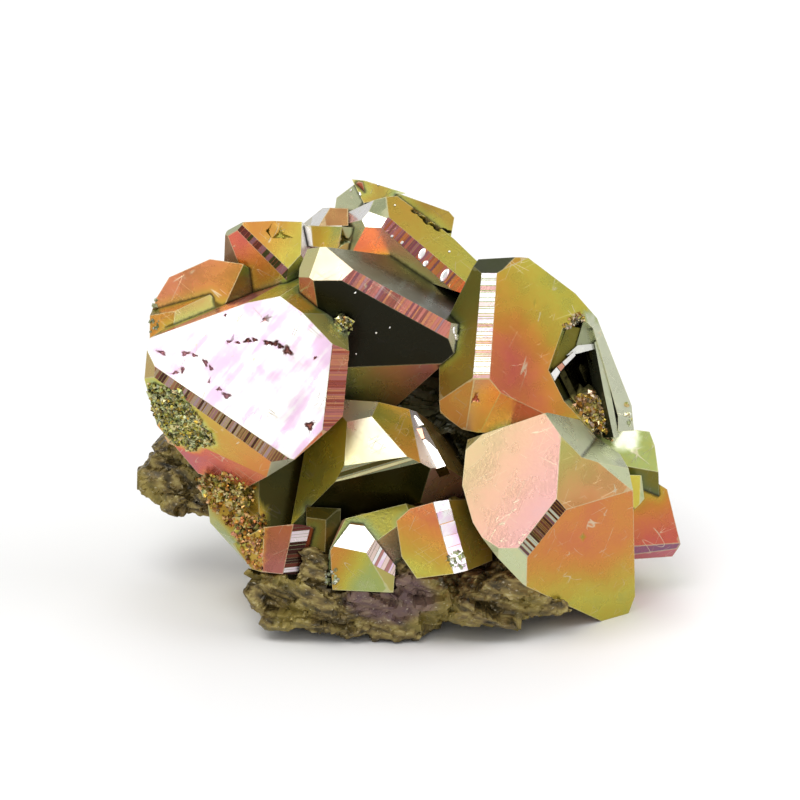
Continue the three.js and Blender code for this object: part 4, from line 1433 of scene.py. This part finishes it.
LENSES = (
    Lens(1.3, 41.4, 0.75, 0.35, 60), Lens(1.7, 40.3, 0.42, 0.27, 50), Lens(3.8, 39.0, 0.85, 0.4, 60),
    Lens(-2.0, 43.3, 0.2, 0.16), Lens(-0.9, 42.6, 0.24, 0.16), Lens(4.3, 41.6, 0.17, 0.14),
    Lens(-1.7, 46.7, 0.12, 0.12), Lens(-3.5, 49.0, 0.14, 0.1), Lens(-3.7, 32.7, 0.14, 0.1, 20),
    Lens(-2.2, 33.3, 0.14, 0.09, 60), Lens(-6.0, 37.1, 0.18, 0.1, 40), Lens(-5.9, 30.4, 0.1, 0.1),
    Lens(4.9, 32.9, 0.35, 0.5, 10, MUSTARD), Lens(5.1, 32.2, 0.3, 0.45, 20, MUSTARD, 0.8),
    Lens(-5.0, 46.9, 0.1, 0.1), Lens(-6.5, 48.4, 0.18, 0.12, 60), Lens(-5.5, 48.0, 0.12, 0.3, 20),
)


@dataclass(frozen=True)
class Plate:
    """A small flat crystal face that stands in or on a larger one.

    Attributes:
        outline: Corners, counterclockwise, as seen by the camera.
        sink: Depth under the larger face.
        tone: Film, wash and shade.
        on: A place on the larger face.
        like: A place on the face whose direction it takes.
    """

    outline: Outline
    sink: float
    tone: tuple[Film, float, float]
    on: Pair = (13.0, 33.0)
    like: Pair = (13.0, 33.0)


PLATES = (
    Plate(((18.2, 31.0), (20.3, 31.2), (20.5, 33.0), (19.2, 34.4), (18.9, 33.4)), 0.7, (GREY, 0.05, 0.3)),
    Plate(((15.4, 28.6), (16.6, 29.4), (18.3, 31.2), (18.9, 33.2), (17.3, 33.4)), 0.9, (OLIVE, 0, 0.65)),
    Plate(((17.2, 30.2), (18.4, 30.4), (20.3, 30.9), (20.3, 31.5), (18.4, 31.3)), 0.5, (GREY, 0.8, 0)),
    Plate(((20.3, 31.6), (21.3, 26.3), (22.4, 21.2), (23.0, 21.2), (22.0, 26.6), (20.8, 32.2)), 0.15,
          (GREY, 0.25, 0.05)),
    Plate(((15.2, 27.9), (15.9, 27.4), (16.5, 28.4), (16.1, 28.9)), 0.3, (MUSTARD, 1.0, 0)),
    Plate(((16.15, 28.95), (16.55, 28.45), (17.0, 29.0), (16.7, 29.4)), 0.3, (CORAL, 0.2, 0)),
    Plate(((16.75, 29.45), (17.05, 29.05), (18.2, 30.2), (18.0, 30.6)), 0.3, (MUSTARD, 0.95, 0)),
    Plate(((0.7, 20.7), (1.5, 18.3), (2.4, 17.6), (3.9, 18.1), (3.0, 19.8), (1.7, 21.0)), 0.1,
          (GOLD, 0.8, 0), (2.2, 19.2), (-4.0, 20.5)),
    Plate(((0.3, 22.1), (0.7, 20.9), (1.6, 21.1), (1.3, 22.2)), 0.0, (CORAL, 0.2, 0.1),
          (1.0, 21.6), (-4.0, 20.5)),
    Plate(((-0.1, 23.4), (0.1, 22.3), (1.5, 22.6), (0.6, 23.6)), 0.1, (MUSTARD, 0.9, 0),
          (0.7, 22.9), (-4.0, 20.5)),
)


@dataclass
class Highlights:
    """The raised ovals with painted highlights and the small faces that stand by themselves.

    Attributes:
        facets: The flat faces they lie on.
        thick: Depth of a plate.
        rings: Share of an oval's width and lift of each ring from its foot to its top.
        sides: Corners of an oval.
        edge: Darkness of its foot.
    """

    facets: Facets
    thick: float = 2.2
    rings: tuple[Pair, ...] = ((1.0, -0.05), (1.0, 0.05), (0.85, 0.13), (0.55, 0.17))
    sides: int = 14
    edge: float = 0.7

    def build(self) -> Piece:
        """Make them as one piece."""
        blocks = Blocks()
        for lens in LENSES:
            self._dome(lens, blocks)
        for plate in PLATES:
            origin = self.facets.hit(*plate.on)[1]
            normal = self.facets.normal[self.facets.hit(*plate.like)[0]]
            tops = []
            for u, v in plate.outline:
                far = from_view(u, v, 0)
                near = ((origin - normal * plate.sink - far) @ normal) / (TO_CAMERA @ normal)
                tops.append(far + TO_CAMERA * near)
            film, wash, shade = plate.tone
            blocks.prism(tops, [top - normal * self.thick for top in tops], (film.value, wash, shade))
        return blocks.finish("highlights", 0)

    def _dome(self, lens: Lens, blocks: Blocks) -> None:
        """Add one oval as a low closed dome.

        Args:
            lens: The oval.
            blocks: Collects corners, faces and tones.
        """
        found = self.facets.hit(lens.u, lens.v)
        if found is None:
            return
        row, centre = found
        normal = self.facets.normal[row]
        turn = math.radians(lens.turn)
        along, side = lay(math.cos(turn), math.sin(turn), normal)
        count, first = self.sides, len(blocks.points)
        for share, lift in self.rings:
            for k in range(count):
                a = 2 * math.pi * k / count
                out = along * (lens.long * share * math.cos(a)) + side * (lens.wide * share * math.sin(a))
                blocks.points.append(centre + out + normal * lift)
        tone, edge = (lens.film.value, lens.wash, 0.0), (lens.film.value, 0.0, self.edge)
        last = len(blocks.points) - count
        for low in range(first, last, count):
            for k in range(count):
                a, b = low + k, low + (k + 1) % count
                blocks.faces.append([a, b, b + count, a + count])
                blocks.tones.append(edge if low == first else tone)
        blocks.faces.append([last + k for k in range(count)])
        blocks.faces.append([first + k for k in reversed(range(count))])
        blocks.tones += [tone, edge]


@dataclass(frozen=True)
class Lamp:
    """A soft square lamp.

    Attributes:
        name: Its name.
        turn: Its turn from the camera's line, in degrees.
        lift: Its lift from that line, in degrees.
        reach: Its distance, in metres.
        size: Its width, in metres.
        power: Its power, in watts.
    """

    name: str
    turn: float
    lift: float
    reach: float
    size: float
    power: float

    def hang(self, height: float) -> None:
        """Hang the lamp so that it shines on the place seen at a height."""
        turn, lift = math.radians(self.turn), math.radians(self.lift)
        u, v, w = math.sin(turn) * math.cos(lift), math.sin(lift), math.cos(turn) * math.cos(lift)
        way_out = Vector((u, v * SIN - w * COS, v * COS + w * SIN))
        data = bpy.data.lights.new(self.name, "AREA")
        data.shape, data.size, data.energy = "SQUARE", self.size, self.power
        lamp = bpy.data.objects.new(self.name, data)
        lamp.location = Vector(from_view(0, height, 0) * MM) + way_out * self.reach
        lamp.rotation_euler = way_out.to_track_quat("Z", "Y").to_euler()
        bpy.context.scene.collection.objects.link(lamp)


LAMPS = (
    Lamp("key", -24, 44, 0.55, 0.34, 1.5), Lamp("front", -7, 9, 0.6, 0.16, 0.22),
    Lamp("low", 12, -14, 0.6, 0.3, 0.35), Lamp("right", 55, 30, 0.6, 0.3, 0.5),
    Lamp("side", 84, 36, 0.6, 0.3, 0.55), Lamp("back", 170, 50, 0.6, 0.4, 1.0),
)


@dataclass(frozen=True)
class Studio:
    """Pale floor, soft lamps and the camera.

    Attributes:
        reach: Distance of the camera, in metres.
        lens: Focal length, in millimetres.
        sensor: Width of the film, in millimetres.
        aim: Place the camera looks at, in view millimetres.
        middle: Height that the lamps shine on, as seen by the camera.
        floor: Corners of the floor.
        pale: Colour of the floor.
        glow: Strength of the light from all around.
    """

    reach: float = 2.0
    lens: float = 818.2
    sensor: float = 36.0
    aim: tuple[float, float, float] = (-1.1, 25.3, 0.0)
    middle: float = 22.0
    floor: tuple = ((-1500, -1500, 0), (1500, -1500, 0), (1500, 3000, 0), (-1500, 3000, 0))
    pale: Rgb = (243, 243, 243)
    glow: float = 0.55

    def build(self) -> None:
        """Set up the floor, the lamps and the camera."""
        floor = new_object("floor", np.array(self.floor, float), [[0, 1, 2, 3]])
        c = Colour("pale_floor")
        c.shader.inputs["Base Color"].default_value = ink(*self.pale)
        c.shader.inputs["Roughness"].default_value = 0.9
        floor.data.materials.append(c.material)
        for lamp in LAMPS:
            lamp.hang(self.middle)
        scene = bpy.context.scene
        scene.world = bpy.data.worlds.new("studio")
        scene.world.use_nodes = True
        light = scene.world.node_tree.nodes["Background"]
        light.inputs["Color"].default_value = (1, 1, 1, 1)
        light.inputs["Strength"].default_value = self.glow
        scene.view_settings.view_transform = "Standard"
        data = bpy.data.cameras.new("camera")
        data.lens, data.sensor_width, data.clip_end = self.lens, self.sensor, 20.0
        camera = bpy.data.objects.new("camera", data)
        camera.location = from_view(*self.aim) * MM + self.reach * TO_CAMERA
        camera.rotation_euler = (math.pi / 2 - LEAN, 0, 0)
        scene.collection.objects.link(camera)
        scene.camera = camera


def main() -> None:
    """Build the specimen and the studio."""
    logging.basicConfig(level=logging.INFO, format="%(name)s: %(message)s")
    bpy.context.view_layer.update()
    Studio().build()
    facets = Facets()
    makers = (
        CrystalCluster(facets), StriatedStrips(facets), Highlights(facets),
        FineDruse(), RockBase(), HollowLining(),
    )
    for maker in makers:
        piece = maker.build()
        LOG.info("%s: %d faces", piece.name, len(piece.data.polygons))


if __name__ == "__main__":
    main()
